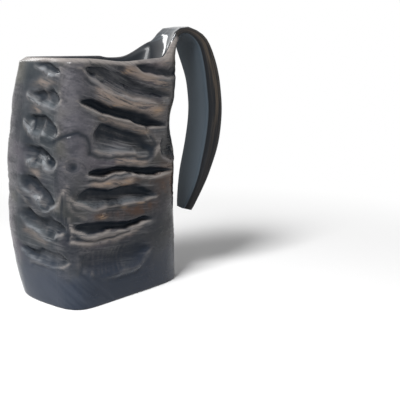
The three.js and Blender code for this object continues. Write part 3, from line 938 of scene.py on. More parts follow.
def path_distance(path, arc, z):
    """Shortest way from each point to a path of straight steps, in millimetres."""
    nearest = np.full(len(arc), np.inf)
    for (a, b), (c, d) in zip(path, path[1:]):
        step_x, step_z = (c - a) * ARC, d - b
        along = ((arc - a * ARC) * step_x + (z - b) * step_z) / (step_x**2 + step_z**2)
        along = np.clip(along, 0.0, 1.0)
        nearest = np.minimum(nearest, np.hypot(arc - a * ARC - along * step_x, z - b - along * step_z))
    return nearest


def drawn(folds):
    """Depth of all the folds at every point, and the strongest share of any one."""
    depth = np.zeros(len(points))
    strongest = np.zeros(len(points))
    for path, half, deep in folds:
        share = bell(path_distance(path, wander_degrees * ARC, wander_height), half)
        depth += deep * share
        strongest = np.maximum(strongest, share * min(1.0, abs(deep) / FULL_LINE))
    return depth, strongest


crease_depth, crease_line = drawn(CREASES)
ridge_depth, pale_and_glint = drawn(FINE_RIDGES)
# The front of the rim gets a painted highlight.
pale_and_glint = np.maximum(pale_and_glint, RIM_HIGHLIGHT_SHARE * patch_at(RIM_HIGHLIGHT, degrees, height))
raised_depth, _ = drawn(RAISED_PLACES)
knot_far = np.hypot((degrees - KNOT[0]) * ARC, height - KNOT[1])
knot = KNOT_DEPTH * bell(knot_far, KNOT_HALF) - KNOT_RING_HEIGHT * bell(knot_far - KNOT_RING, KNOT_RING_HALF)
fold = crease_depth + ridge_depth + raised_depth + knot
crease_line = np.maximum(crease_line, bell(knot_far, KNOT_STAIN))
print("deepest fold", round(float(fold.max()), 1), "mm")

# %% [markdown]
# ## Swells and lumps
# Between the hollows horn is never flat. Three sizes of smooth noise swell the wall, broken wrinkles
# follow the growth rings, the upper pits of the narrow face are crinkled, and the keel is eased. All the
# depths are added, kept clear of the bore, evened over neighbouring points and taken off along the radius.
# A shallow groove is cut along the near edge of the strip. What stands proud of its surroundings, and what
# lies below them, is remembered for the finish.

# %% Swells
SKIRT_SHARE = 0.3
CREST_HEIGHT = 0.9
CREST_LOSS = 0.6
LIP_HEIGHT = 0.7
UNDERCUT = 1.0
# Each lump: its height, its size and its shift.
LUMPS = ((0.6, 24.0, 40.0), (0.4, 9.0, 52.0), (0.18, 3.6, 64.0))
FOOT_LUMPS = 0.2
FOOT_SPAN = (8.0, 34.0)
CRINKLE_DEPTH = 0.6
CRINKLE_NOISE = (4.5, 77.0)
CRINKLE_SPAN = (80.0, 100.0)
PIT_SPAN = (0.5, 2.0)
WRINKLE_DEPTH = 0.5
WRINKLE_LONG = 17.0
WRINKLE_TALL = 3.6
WRINKLE_HALF = 0.16
WRINKLE_SHIFT = 5.0
WRINKLE_SPAN = (16.0, 40.0)
BREAK_NOISE = (13.0, 91.0)
BREAK_SPAN = (-0.15, 0.35)
KEEL_ANGLE = -118.0
KEEL_DEPTH = 0.4
KEEL_HALF = 6.0
KEEL_SIDES = 14.0

swell = sum(share * lumps(points, size, shift) for share, size, shift in LUMPS)
swell *= lerp(FOOT_LUMPS, 1.0, smoothstep(height, *FOOT_SPAN))
in_pit = smoothstep(sunk, *PIT_SPAN)
crinkle = CRINKLE_DEPTH * lumps(points, *CRINKLE_NOISE) * narrow * smoothstep(height, *CRINKLE_SPAN) * in_pit
stretch = np.array([WRINKLE_LONG, WRINKLE_LONG, WRINKLE_TALL])
ringed = np.stack([points[:, 0], points[:, 1], ring_height], axis=1) / stretch
broken = smoothstep(lumps(points, *BREAK_NOISE), *BREAK_SPAN) * smoothstep(height, *WRINKLE_SPAN)
wrinkle = bell(lumps(ringed, 1.0, WRINKLE_SHIFT), WRINKLE_HALF) * broken
from_keel = degrees - KEEL_ANGLE
keel = bell(from_keel, KEEL_HALF) - 0.5 * bell(from_keel, KEEL_SIDES)
soft = SKIRT_SHARE * skirt - swell - crinkle + KEEL_DEPTH * keel + WRINKLE_DEPTH * wrinkle
crest_out = CREST_HEIGHT * crest * (1.0 - shade) * (1.0 - CREST_LOSS * under)
edges_out = crest_out + LIP_HEIGHT * lip - UNDERCUT * under
print("swells between", round(float(soft.min()), 1), "and", round(float(soft.max()), 1), "mm")

# %% Move the points
EVENING_ROUNDS = 2
PROUD_ROUNDS = 10
GROOVE_DEPTH = 1.2
GROOVE_PLACE = 0.26
GROOVE_HALF = 0.14
GROOVE_START = (0.14, 0.24)
NEAR_EDGE = (0.8, 1.0)

inward = (sunk + soft + fold + waist - edges_out) * calm
wall_left = outside_radius(theta, height) - bore_radius(theta, height) - MIN_WALL
inward = evened(horn, np.minimum(inward, np.maximum(wall_left, 0.0)), EVENING_ROUNDS)
proud = evened(horn, inward, PROUD_ROUNDS) - inward
points[:, 0] -= inward * np.cos(theta)
points[:, 1] -= inward * np.sin(theta)
on_near_edge = smoothstep(-numbers_of(horn, "across"), *NEAR_EDGE)
on_near_edge = on_near_edge * smoothstep(numbers_of(horn, "along"), *GROOVE_START)
points[:, 1] += GROOVE_DEPTH * on_near_edge * bell(numbers_of(horn, "through") - GROOVE_PLACE, GROOVE_HALF)
horn.data.vertices.foreach_set("co", (points * MM).ravel())
horn.data.update()
facing = np.empty(len(points) * 3)
horn.data.vertex_normals.foreach_get("vector", facing)
faces_up = facing.reshape(-1, 3)[:, 2]
print("wall moved by", round(float(inward.min()), 1), "to", round(float(inward.max()), 1), "mm")

# %% [markdown]
# ## Where the horn is tan
# Polishing wears through the dark skin on the ridges, and there the horn is tan, rust or amber. Bands
# follow the ridges from station to station, and patches lie between them. Other patches are violet or
# nearly black; the nearly black ones low on the broad face, towards the handle, are painted shadow, and
# the rest are darker horn. The right-hand part of the broad face is warmer and darker than the keel. The
# numbers that say where each colour lies, and where light and shade are painted, are stored on the
# points, for the nodes to read.

# %% Bands of tan and rust
TAN_BANDS = [
    {"stations": [(-58, 144.5), (-40, 141.4), (-25, 136.6), (-8, 130)], "half": 3.0, "amount": 1.0},
    {"stations": [(-98, 131), (-79, 127.4), (-54, 122.8), (-31, 118.8), (-12, 113.5)], "half": 4.4,
     "amount": 1.0},
    {"stations": [(-96, 116.5), (-70, 111.3), (-45, 107), (-26, 103.5)], "half": 2.4, "amount": 0.8},
    {"stations": [(-80, 89), (-51, 87.2), (-30, 84.6)], "half": 2.6, "amount": 1.0},
    {"stations": [(-108, 75.6), (-86, 74.9), (-65, 73.6), (-46, 75.2)], "half": 2.3, "amount": 1.0},
    {"stations": [(-114, 41.6), (-96, 40.8), (-73, 41), (-42, 43.4)], "half": 2.2, "amount": 0.6},
    {"stations": [(-176, 45.5), (-160, 43.4), (-146, 40.6), (-134, 41)], "half": 2.0, "amount": 0.35},
]
RUST_BANDS = [
    {"stations": [(-104, 57.4), (-85, 56), (-60, 55.6), (-30, 56)], "half": 3.4, "amount": 1.0},
    {"stations": [(-66, 74.5), (-40, 74), (-16, 72)], "half": 3.0, "amount": 0.6},
]
BAND_FADE = 10.0


def band(spec, degrees, z):
    angles, heights = np.array(spec["stations"], float).T
    centre = through_points(degrees, angles, heights)
    ends = smoothstep(degrees, angles[0], angles[0] + BAND_FADE)
    ends = ends * smoothstep(-degrees, -angles[-1], BAND_FADE - angles[-1])
    return spec["amount"] * ends * bell(z - centre, spec["half"])


tan_bands, rust_bands = (
    sum(band(spec, wander_degrees, wander_height) for spec in bands) for bands in (TAN_BANDS, RUST_BANDS)
)
print(len(TAN_BANDS) + len(RUST_BANDS), "bands")

# %% Patches of colour
# Each patch: its angle and height, then its half width in degrees and half height.
TAN_PATCHES = [
    (-147, 135, 12, 2.2),
    (-155, 120.6, 6, 2.6),
    (-153, 82.4, 6, 2.6),
    (-15, 77, 5, 4),
    (-14, 148, 7, 3.5),
]
RUST_PATCHES = [(-16, 70, 13, 13), (-38, 56, 8, 4)]
AMBER_PATCHES = [
    (-62, 73, 7, 1.8), (-87, 74.4, 5, 1.2), (-76, 80.4, 12, 0.7), (-93, 55, 4, 1.4), (-34, 104.8, 6, 1.6),
    (-66, 58.4, 5, 1.0), (-44, 59.6, 6, 1.2), (-70, 121.5, 8, 1.6), (-22, 117, 6, 2.4), (-52, 141.5, 7, 1.4),
]
VIOLET_PATCHES = [(-109, 112, 14, 40), (-104, 10, 14, 14), (-100, 44, 12, 3)]
# Patches low on the broad face, towards the handle, are painted shadow; the others darken the horn itself.
DARK_AND_SHADOW_PATCHES = [
    (-117, 62, 8, 26), (-130, 84, 6, 14), (-166, 106, 6, 14), (-72, 30, 34, 18), (-168, 60, 8, 22),
    (-48, 27, 14, 11), (-44, 46, 14, 8), (-182, 114, 10, 20), (-20, 70, 12, 12), (-168, 138, 10, 9),
    (-119, 38, 7, 16), (-14, 60, 11, 24), (-26, 36, 16, 14),
]
TAN_PATCH_SHARE = 0.6

tan_spots, rust_spots, amber, violet, deep = (
    sum(patch_at(spec, wander_degrees, wander_height) for spec in spots)
    for spots in (TAN_PATCHES, RUST_PATCHES, AMBER_PATCHES, VIOLET_PATCHES, DARK_AND_SHADOW_PATCHES)
)
tan = tan_bands + TAN_PATCH_SHARE * tan_spots
rust = rust_bands + rust_spots
on_ridges = 1.0 - in_pit
print("tan share", round(float((tan * on_ridges > 0.4).mean()), 3))

# %% Numbers for the finish
WARM_START = (-88.0, -30.0)
WARM_END = (30.0, 60.0)
PALE_IN_SHADE = 0.3
PALE_ON_NARROW = 0.5
SKIRT_SHADE_DEPTH = 4.0
RECESS_DARK_SPAN = (0.06, 0.5)
WORN_LIT_SPAN = (0.08, 0.5)
UPWARD_SPAN = (-0.12, 0.2)
RIM_SPAN = (-2.8, -0.5)
GRIP_SPAN = (0.02, 0.12)
FRONT_START = (-165.0, -60.0)
FRONT_END = (60.0, 120.0)

shares = {
    # painted shade in the upper part of each hollow
    "shade": shade,
    # painted light on the floors of the hollows
    "floor_light": floor_light,
    # painted highlight on the crest below each hollow and on its lip
    "crest": np.maximum(crest * (1.0 - under), lip),
    # dark along the creases and at the knot's stain, and painted shade under each lip
    "crease_line": np.maximum(crease_line, under),
    # pale lines on the fine ridges, partly a painted glint, and the painted highlight on the rim
    "pale_and_glint": pale_and_glint * lerp(1.0, PALE_IN_SHADE, shade) * lerp(1.0, PALE_ON_NARROW, narrow),
    # painted shade round each hollow, deepest where the hollow is deep
    "skirt_shade": skirt / SKIRT_SHADE_DEPTH,
    "tan": tan * on_ridges,
    "rust": rust * on_ridges,
    "warm": smoothstep(degrees, *WARM_START) * (1.0 - smoothstep(degrees, *WARM_END)),
    "amber": amber,
    "violet": violet,
    "cool": narrow,
    # nearly black patches, partly darker horn and partly painted shadow
    "deep": deep,
    # darker wherever the surface lies below its neighbours
    "recess_dark": smoothstep(-proud, *RECESS_DARK_SPAN),
    # proud edges, lighter as wear and, being kept to edges that face up, as painted light
    "worn_and_lit": smoothstep(proud, *WORN_LIT_SPAN) * smoothstep(faces_up, *UPWARD_SPAN),
}
for name, values in shares.items():
    keep_numbers(horn, name, np.clip(values, 0.0, 1.0) * on_outside)
other_numbers = {
    "ring": ring_height,
    "rim": smoothstep(-below_rim, *RIM_SPAN),
    "layer": soft + fold,
    "grip": smoothstep(numbers_of(horn, "along"), *GRIP_SPAN),
    "front": smoothstep(degrees, *FRONT_START) * (1.0 - smoothstep(degrees, *FRONT_END)),
}
for name, values in other_numbers.items():
    keep_numbers(horn, name, values)
print(len(shares) + len(other_numbers), "numbers on each point")

# %% Ride
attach(horn, "root")
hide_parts("horn_body")
print(horn.name, "rides with the root")

# %% [markdown]
# ## Foot plug and glue line
# The foot is closed by a disc of horn, let into a rebate and glued. The disc has a chamfer where it is
# sanded flush, and the adhesive sinks a little between the two as it sets. Both are made like the cage:
# an outline is extruded from station to station. The disc is filled and the bead is bridged to itself.

# %% Plug and seal
DISC_COLUMNS = 96
PLUG_EDGE = 0.8
PLUG_TOP_EDGE = 0.3
SEAL_WIDTH = 1.2
SEAL_RECESS = 0.4
SEAL_SINK = 0.25
SHARP_ANGLE = 30.0


def seal_outside(theta):
    return socket_radius(theta) - FIT_GAP


def plug_outside(theta):
    return socket_radius(theta) - SEAL_WIDTH - 2 * FIT_GAP


def turned_piece(name, outline, stations, filled):
    """Each station: how far inside the outline it lies, and its height."""
    bm, verts, edges = new_cage(DISC_COLUMNS)
    number_of = bm.verts.layers.int["column"]
    ends = [edges]
    for inset, z in stations:
        if (inset, z) != stations[0]:
            verts, edges = next_ring(bm, edges)
        for vert in verts:
            angle = 2 * math.pi * vert[number_of] / DISC_COLUMNS
            vert.co = round_point(outline(angle) - inset, angle, z)
    ends.append(edges)
    if filled:
        for loop in ends:
            bmesh.ops.contextual_create(bm, geom=loop)
    else:
        bmesh.ops.bridge_loops(bm, edges=ends[0] + ends[1])
    bmesh.ops.recalc_face_normals(bm, faces=bm.faces)
    piece = piece_from(bm, name)
    piece.data.shade_smooth()
    piece.data.set_sharp_from_angle(angle=math.radians(SHARP_ANGLE))
    return piece


seal_top = PLUG_THICKNESS - SEAL_RECESS
half_bead = SEAL_WIDTH / 2
plug_stations = [
    (PLUG_EDGE, 0.0),
    (0.0, PLUG_EDGE),
    (0.0, PLUG_THICKNESS - PLUG_TOP_EDGE),
    (PLUG_TOP_EDGE, PLUG_THICKNESS),
]
seal_stations = [
    (0.0, SEAL_RECESS),
    (0.0, seal_top),
    (half_bead, seal_top - SEAL_SINK),
    (SEAL_WIDTH, seal_top),
    (SEAL_WIDTH, SEAL_RECESS),
    (half_bead, SEAL_RECESS + SEAL_SINK),
]
plug = turned_piece("foot_plug", plug_outside, plug_stations, True)
seal = turned_piece("glue_line", seal_outside, seal_stations, False)
for piece, node, slot in ((plug, "base_plug", "plug_horn"), (seal, "base_seal", "adhesive")):
    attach(piece, "root")
    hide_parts(node)
print("plug", len(plug.data.polygons), "faces, seal", len(seal.data.polygons), "faces")

# %% [markdown]
# ## Nodes for horn
# Horn is made of thin layers, so its figure is lines that follow the growth rings and close round every
# lump that has been sanded through. A node group makes that figure once, for both horn pieces. For the
# lines, noise is read at a place whose third number is the ring height plus the depth sanded away. The
# group gives broad lines, fine lines, a mottle and larger patches, all as plain values.

# %% Node helpers: sums and spans


def add(tree, kind, **values):
    """A new node; each value is a property of the node or, by name, one of its inputs."""
    made = tree.nodes.new(kind)
    for name, value in values.items():
        if hasattr(made, name):
            setattr(made, name, value)
        else:
            made.inputs[name.replace("_", " ")].default_value = value
    return made


def feed(tree, socket, value):
    """Links a socket into another, or sets a plain value on it."""
    if isinstance(value, bpy.types.NodeSocket):
        tree.links.new(value, socket)
    else:
        socket.default_value = value


def maths(tree, operation, first, second=0.0, clamp=False):
    made = add(tree, "ShaderNodeMath", operation=operation, use_clamp=clamp)
    feed(tree, made.inputs[0], first)
    feed(tree, made.inputs[1], second)
    return made.outputs[0]


def times(tree, first, *others):
    for other in others:
        first = maths(tree, "MULTIPLY", first, other)
    return first


def added(tree, first, second):
    return maths(tree, "ADD", first, second)


def less(tree, first, second, clamp=False):
    return maths(tree, "SUBTRACT", first, second, clamp)


def largest(tree, first, *others):
    for other in others:
        first = maths(tree, "MAXIMUM", first, other)
    return first


def ranged(tree, value, low, high, to_low=0.0, to_high=1.0):
    """The value brought from one span to another along an S curve."""
    made = add(tree, "ShaderNodeMapRange", interpolation_type="SMOOTHSTEP")
    names = ("Value", "From Min", "From Max", "To Min", "To Max")
    for name, number in zip(names, (value, low, high, to_low, to_high)):
        feed(tree, made.inputs[name], number)
    return made.outputs["Result"]


# %% Node helpers: places, grain and materials


def joined(tree, *parts):
    made = add(tree, "ShaderNodeCombineXYZ")
    for socket, part in zip(made.inputs, parts):
        feed(tree, socket, part)
    return made.outputs[0]


def scaled(tree, parts, sizes):
    """A vector of the parts, each multiplied by its own size."""
    return joined(tree, *(times(tree, part, size) for part, size in zip(parts, sizes)))


def object_place(tree):
    """The place of a point in metres, as x, y and z."""
    made = add(tree, "ShaderNodeSeparateXYZ")
    tree.links.new(add(tree, "ShaderNodeTexCoord").outputs["Object"], made.inputs[0])
    return made.outputs


def grain(tree, vector, detail=3.0, roughness=0.5, distortion=0.0):
    """Noise read at a place, with about one lump to a unit."""
    values = {"Scale": 1.0, "Detail": detail, "Roughness": roughness, "Distortion": distortion}
    made = add(tree, "ShaderNodeTexNoise", **values)
    tree.links.new(vector, made.inputs["Vector"])
    return made.outputs["Fac"]


def mixed(tree, share, first, second):
    """Mix of two colours; each may be a socket or a plain colour."""
    mix = add(tree, "ShaderNodeMix", data_type="RGBA")
    for socket, value in zip((mix.inputs[0], mix.inputs[6], mix.inputs[7]), (share, first, second)):
        feed(tree, socket, value)
    return mix.outputs[2]


def attribute(tree, name):
    return add(tree, "ShaderNodeAttribute", attribute_name=name).outputs["Fac"]


def new_material(name):
    material = bpy.data.materials.new(name)
    material.use_nodes = True
    return material, material.node_tree, material.node_tree.nodes["Principled BSDF"]


def bumped(tree, shader, height, strength, distance):
    bump = add(tree, "ShaderNodeBump", Strength=strength, Distance=distance)
    tree.links.new(height, bump.inputs["Height"])
    tree.links.new(bump.outputs[0], shader.inputs["Normal"])


def dress(piece, material):
    piece.data.materials.clear()
    piece.data.materials.append(material)


# %% The figure of horn, as a node group
FIGURE_INPUTS = (("Place", "NodeSocketVector"), ("Ring", "NodeSocketFloat"), ("Layer", "NodeSocketFloat"))
FIGURE_OUTPUTS = ("Lines", "Fine Lines", "Mottle", "Patches")
# Lumps to a metre across, then lumps to a millimetre of ring height and of sanded depth.
LINES_SCALE = (30.0, 0.16, 0.9)
FINE_SCALE = (45.0, 0.7, 2.2)
# Lumps to a metre along x, y and z.
MOTTLE_SCALE = (60.0, 60.0, 45.0)
PATCHES_SCALE = (24.0, 24.0, 30.0)


def horn_figure():
    """Place is in metres, Ring and Layer in millimetres."""
    group = bpy.data.node_groups.new("horn_figure", "ShaderNodeTree")
    for name, kind in FIGURE_INPUTS:
        group.interface.new_socket(name, in_out="INPUT", socket_type=kind)
    for name in FIGURE_OUTPUTS:
        group.interface.new_socket(name, in_out="OUTPUT", socket_type="NodeSocketFloat")
    given = group.nodes.new("NodeGroupInput").outputs
    result = group.nodes.new("NodeGroupOutput").inputs
    separate = add(group, "ShaderNodeSeparateXYZ")
    group.links.new(given["Place"], separate.inputs[0])
    x, y, z = separate.outputs

    def layered(scale, ring_scale, layer_scale):
        rings = times(group, given["Ring"], ring_scale)
        depth = added(group, rings, times(group, given["Layer"], layer_scale))
        return joined(group, times(group, x, scale), times(group, y, scale), depth)

    figures = (
        grain(group, layered(*LINES_SCALE), detail=5.0, roughness=0.58, distortion=0.5),
        grain(group, layered(*FINE_SCALE), detail=4.0, roughness=0.62, distortion=0.4),
        grain(group, scaled(group, (x, y, z), MOTTLE_SCALE), detail=4.0, roughness=0.55, distortion=0.6),
        grain(group, scaled(group, (x, y, z), PATCHES_SCALE), detail=2.0),
    )
    for name, value in zip(FIGURE_OUTPUTS, figures):
        group.links.new(value, result[name])
    return group


HORN_FIGURE = horn_figure()


def figure_in(tree, ring, layer):
    """The horn figure placed in a material, with its outputs by name."""
    made = add(tree, "ShaderNodeGroup", node_tree=HORN_FIGURE)
    feed(tree, made.inputs["Place"], add(tree, "ShaderNodeTexCoord").outputs["Object"])
    feed(tree, made.inputs["Ring"], ring)
    feed(tree, made.inputs["Layer"], layer)
    return made.outputs


print("horn figure gives", ", ".join(FIGURE_OUTPUTS))

# %% [markdown]
# ## Horn finish
# The finish is built as a painter would: a streaky ground first, then one thin coat after another, each
# laid where a number on the points says so and broken up by the figure. First come broad olive, mauve and
# violet tints and nearly black patches, partly painted shadow, then painted shade round the hollows with
# its streaks and painted light on their floors, then painted highlights on the crests, the tan, rust and
# amber ridges, pale lines that are partly painted glints, and worn edges, lit with painted light where
# they face up. Last come a darkening where the surface lies below its neighbours, the dark of the
# creases with painted shade under the lips, and painted shade high in each hollow. Pits, the bore and
# the inside of the strip are left satin or matt, because dust and wax stay there, and the rest is
# polished under a clear coat. Real horn is a dielectric, so nothing here is metallic.

# %% Colours of the horn
HORN_LIGHT = (0.110, 0.105, 0.113, 1)
HORN_DARK = (0.016, 0.017, 0.021, 1)
VIOLET_GREY = (0.064, 0.063, 0.076, 1)
WARM_DARK = (0.045, 0.039, 0.036, 1)
COOL_GREY = (0.030, 0.038, 0.045, 1)
OLIVE_GREY = (0.078, 0.076, 0.056, 1)
MAUVE_GREY = (0.104, 0.084, 0.106, 1)
# Painted light for the floors of the hollows.
LIT_FLOOR_GREY = (0.094, 0.108, 0.120, 1)
# Painted highlight for crests and lips, also used for pale streaks.
STREAK_AND_HIGHLIGHT_GREY = (0.176, 0.174, 0.180, 1)
# Pale horn and painted glints on the fine ridges, and the painted highlight on the rim.
PALE_AND_HIGHLIGHT = (0.240, 0.215, 0.200, 1)
# Worn edges, lighter as wear and as painted light where they face up.
WORN_LIT = (0.218, 0.196, 0.182, 1)
COOL_WORN_LIT = (0.180, 0.195, 0.210, 1)
# Near black, used for painted shade and for dark patches and creases.
PITCH = (0.002, 0.006, 0.012, 1)
TAN = (0.238, 0.188, 0.157, 1)
RUST = (0.048, 0.021, 0.010, 1)
AMBER = (0.310, 0.205, 0.125, 1)
# Slate of the foot, lighter with a painted reflection, then darker with a painted shadow.
FOOT_SHEEN_SLATE = (0.034, 0.043, 0.062, 1)
FOOT_SHADOW_SLATE = (0.010, 0.017, 0.032, 1)
BORE_NAVY = (0.005, 0.008, 0.012, 1)
STRIP_SLATE = (0.044, 0.058, 0.072, 1)
STRIP_BLACK = (0.005, 0.006, 0.008, 1)
STRIP_BROWN = (0.052, 0.041, 0.031, 1)

# %% Horn material: ground and coats
SPECK_SCALE = (520.0, 520.0, 700.0)
STRIA_SCALE = (26.0, 26.0, 0.5)
RIDGE_SCALE = (60.0, 60.0, 0.45)
CLOUD_SHARE = 0.34
GRAIN_SHARE = 0.16

horn_material, tree, shader = new_material("polished_horn")
x, y, z = object_place(tree)
ring = attribute(tree, "ring")
figure = figure_in(tree, ring, attribute(tree, "layer"))
lines, fine, mottle, patches = (figure[name] for name in FIGURE_OUTPUTS)
speck = grain(tree, scaled(tree, (x, y, z), SPECK_SCALE), detail=2.0)
grainy = added(tree, times(tree, fine, GRAIN_SHARE), times(tree, speck, GRAIN_SHARE))
cloudy = added(tree, times(tree, lines, CLOUD_SHARE), times(tree, mottle, CLOUD_SHARE))
streaks = added(tree, cloudy, grainy)
stria = grain(tree, scaled(tree, (x, y, ring), STRIA_SCALE), detail=3.0, roughness=0.6, distortion=0.6)
ridge = grain(tree, scaled(tree, (x, y, ring), RIDGE_SCALE), detail=4.0, roughness=0.65, distortion=0.8)
worn_lit_tint = mixed(tree, attribute(tree, "cool"), WORN_LIT, COOL_WORN_LIT)

# Each coat: the number that says where it lies, how much of it, what breaks it up, and its colour.
coats = [
    ("outside", 0.55, ranged(tree, patches, 0.5, 0.62), OLIVE_GREY),
    ("outside", 0.5, ranged(tree, patches, 0.46, 0.36), MAUVE_GREY),
    ("warm", 0.55, ranged(tree, patches, 0.35, 0.6, 0.3, 1.0), WARM_DARK),
    ("cool", 0.8, ranged(tree, patches, 0.3, 0.6, 0.5, 1.0), COOL_GREY),
    ("violet", 0.8, ranged(tree, patches, 0.3, 0.6, 0.6, 1.0), VIOLET_GREY),
    # Nearly black patches, partly darker horn and partly painted shadow.
    ("deep", 0.82, ranged(tree, mottle, 0.3, 0.6, 0.5, 1.0), PITCH),
    # Painted shade round the hollows, then light and dark streaks laid in the same place.
    ("skirt_shade", 0.75, ranged(tree, streaks, 0.35, 0.6, 1.0, 0.6), PITCH),
    ("skirt_shade", 0.55, ranged(tree, stria, 0.52, 0.64), STREAK_AND_HIGHLIGHT_GREY),
    ("skirt_shade", 0.6, ranged(tree, stria, 0.46, 0.36), PITCH),
    # Painted light on the floors of the hollows.
    ("floor_light", 0.9, ranged(tree, streaks, 0.4, 0.56, 0.1, 1.0), LIT_FLOOR_GREY),
    # Painted highlight on the crests and lips.
    ("crest", 1.0, ranged(tree, mottle, 0.36, 0.58), STREAK_AND_HIGHLIGHT_GREY),
    ("rust", 1.0, ranged(tree, mottle, 0.36, 0.56, 0.2, 1.0), RUST),
    ("tan", 1.0, ranged(tree, ridge, 0.37, 0.53), TAN),
    ("amber", 0.8, ranged(tree, fine, 0.42, 0.56), AMBER),
    # Pale lines on the fine ridges, partly a painted glint, and the painted highlight on the rim.
    ("pale_and_glint", 0.7, ranged(tree, fine, 0.36, 0.58, 0.1, 1.0), PALE_AND_HIGHLIGHT),
    # Worn proud edges, lighter as wear and, where they face up, as painted light.
    ("worn_and_lit", 0.85, ranged(tree, fine, 0.34, 0.54), worn_lit_tint),
    # Darker where the surface lies below its neighbours.
    ("recess_dark", 0.75, 1.0, PITCH),
    # Dark along the creases and the knot, and painted shade under the lips.
    ("crease_line", 0.85, 1.0, PITCH),
    # Painted shade in the upper part of each hollow.
    ("shade", 1.0, ranged(tree, streaks, 0.4, 0.62, 1.0, 0.55), PITCH),
]
colour = mixed(tree, ranged(tree, streaks, 0.40, 0.58), HORN_DARK, HORN_LIGHT)
for name, amount, veil, tint in coats:
    colour = mixed(tree, times(tree, attribute(tree, name), amount, veil), colour, tint)
print(len(coats), "coats on the ground")

# %% Horn material: foot and strip
FOOT_STREAK = (260.0, 60.0, 50.0)
FOOT_STREAK_GAIN = 1.3
FOOT_TOP = 0.038
FOOT_FULL = 0.012
FOOT_RAGGED = 0.02
STRIP_STREAK = (5.0, 9.0, 9.0)

slanting = (added(tree, x, z), y, less(tree, z, x))
foot_streak = grain(tree, scaled(tree, slanting, FOOT_STREAK), detail=3.0)
foot_uneven = less(tree, times(tree, foot_streak, FOOT_STREAK_GAIN), FOOT_STREAK_GAIN / 2)
# Painted light and shade on the slate foot: lighter round the narrow face and back as a painted reflection,
# darker towards the handle as a painted shadow.
foot_share = added(tree, attribute(tree, "front"), foot_uneven)
foot_colour = mixed(tree, ranged(tree, foot_share, 0.0, 1.0), FOOT_SHEEN_SLATE, FOOT_SHADOW_SLATE)
foot_edge = added(tree, z, times(tree, less(tree, mottle, 0.5), FOOT_RAGGED))
colour = mixed(tree, ranged(tree, foot_edge, FOOT_TOP, FOOT_FULL), colour, foot_colour)

along, across, through, grip = (attribute(tree, name) for name in ("along", "across", "through", "grip"))
strip_place = scaled(tree, (along, across, through), STRIP_STREAK)
strip_streak = grain(tree, strip_place, detail=4.0, roughness=0.6, distortion=0.3)
inside_face = ranged(tree, through, 0.38, 0.5)
brown_middle = times(tree, ranged(tree, through, 0.2, 0.06), ranged(tree, through, -0.52, -0.3))
brown_band = times(tree, brown_middle, ranged(tree, along, 0.45, 0.75, 1.0, 0.2))
brown_share = times(tree, ranged(tree, strip_streak, 0.4, 0.62), brown_band)
strip_edge = mixed(tree, brown_share, STRIP_BLACK, STRIP_BROWN)
colour = mixed(tree, grip, colour, mixed(tree, inside_face, strip_edge, STRIP_SLATE))
print("with foot and strip:", len(tree.nodes), "nodes")

# %% Horn material: rim and bore
in_bore = attribute(tree, "bore")
off_edges = ranged(tree, maths(tree, "ABSOLUTE", across), 0.95, 0.8)
upper_half = times(tree, ranged(tree, along, 0.002, 0.02), ranged(tree, through, 0.1, -0.2))
near_side = ranged(tree, y, 0.024, 0.012)
far_lip = times(tree, ranged(tree, in_bore, 0.02, 0.4), less(tree, 1.0, near_side))
lining = largest(tree, ranged(tree, in_bore, 0.3, 0.7), times(tree, upper_half, off_edges), far_lip)
# Painted highlight along the near rim.
rim_highlight_band = times(tree, attribute(tree, "rim"), near_side, less(tree, 1.0, grip))
rim_highlight_share = times(tree, rim_highlight_band, ranged(tree, fine, 0.3, 0.55, 0.4, 0.9))
colour = mixed(tree, rim_highlight_share, colour, PALE_AND_HIGHLIGHT)
slate_share = times(tree, grip, ranged(tree, strip_streak, 0.42, 0.66))
colour = mixed(tree, lining, colour, mixed(tree, slate_share, BORE_NAVY, STRIP_SLATE))
tree.links.new(colour, shader.inputs["Base Color"])
print("horn colour:", len(tree.nodes), "nodes")

# %% Horn material: polish
STRIP_MATT = 0.8
FLOOR_MATT = 0.5
NARROW_MATT = 0.55
BORE_MATT = 0.55
MATT_ROUGHNESS = 0.72
POLISHED_ROUGHNESS = (0.14, 0.32)
# Where the bore, in metres towards the handle, turns into the saddle.
SADDLE_START = 0.041
SADDLE_FULL = 0.046
SADDLE_POLISH = 0.6
SADDLE_COAT = 0.7
LEAST_COAT = 0.12
COAT_ROUGHNESS = 0.08
SPECULAR_LEVEL = 0.2
BUMP_STRENGTH = 0.5
BUMP_DISTANCE = 0.0005

cool = attribute(tree, "cool")
arch = times(tree, ranged(tree, along, 0.2, 0.3), ranged(tree, through, -0.48, -0.3), STRIP_MATT)
waxed = largest(tree, times(tree, attribute(tree, "floor_light"), FLOOR_MATT), times(tree, cool, NARROW_MATT))
satin = times(tree, lining, ranged(tree, x, SADDLE_FULL, SADDLE_START, 0.0, BORE_MATT))
matt = largest(tree, times(tree, grip, inside_face), arch, attribute(tree, "shade"), waxed, satin)
on_saddle = ranged(tree, x, SADDLE_START, SADDLE_FULL, 0.2, 1.0)
shiny = times(tree, lining, ranged(tree, along, 0.2, 0.1), on_saddle)
streaky = ranged(tree, streaks, 0.3, 0.7, *POLISHED_ROUGHNESS)
polish = times(tree, streaky, less(tree, 1.0, times(tree, shiny, SADDLE_POLISH)))
roughness = largest(tree, polish, times(tree, matt, MATT_ROUGHNESS))
tree.links.new(roughness, shader.inputs["Roughness"])
worn_lit_coat = times(tree, attribute(tree, "worn_and_lit"), ranged(tree, cool, 0.0, 1.0, 0.3, 0.12))
glossy = largest(tree, times(tree, shiny, SADDLE_COAT), worn_lit_coat)
clear = times(tree, less(tree, 1.0, matt, clamp=True), added(tree, glossy, LEAST_COAT))
tree.links.new(clear, shader.inputs["Coat Weight"])
shader.inputs["Coat Roughness"].default_value = COAT_ROUGHNESS
shader.inputs["Specular IOR Level"].default_value = SPECULAR_LEVEL
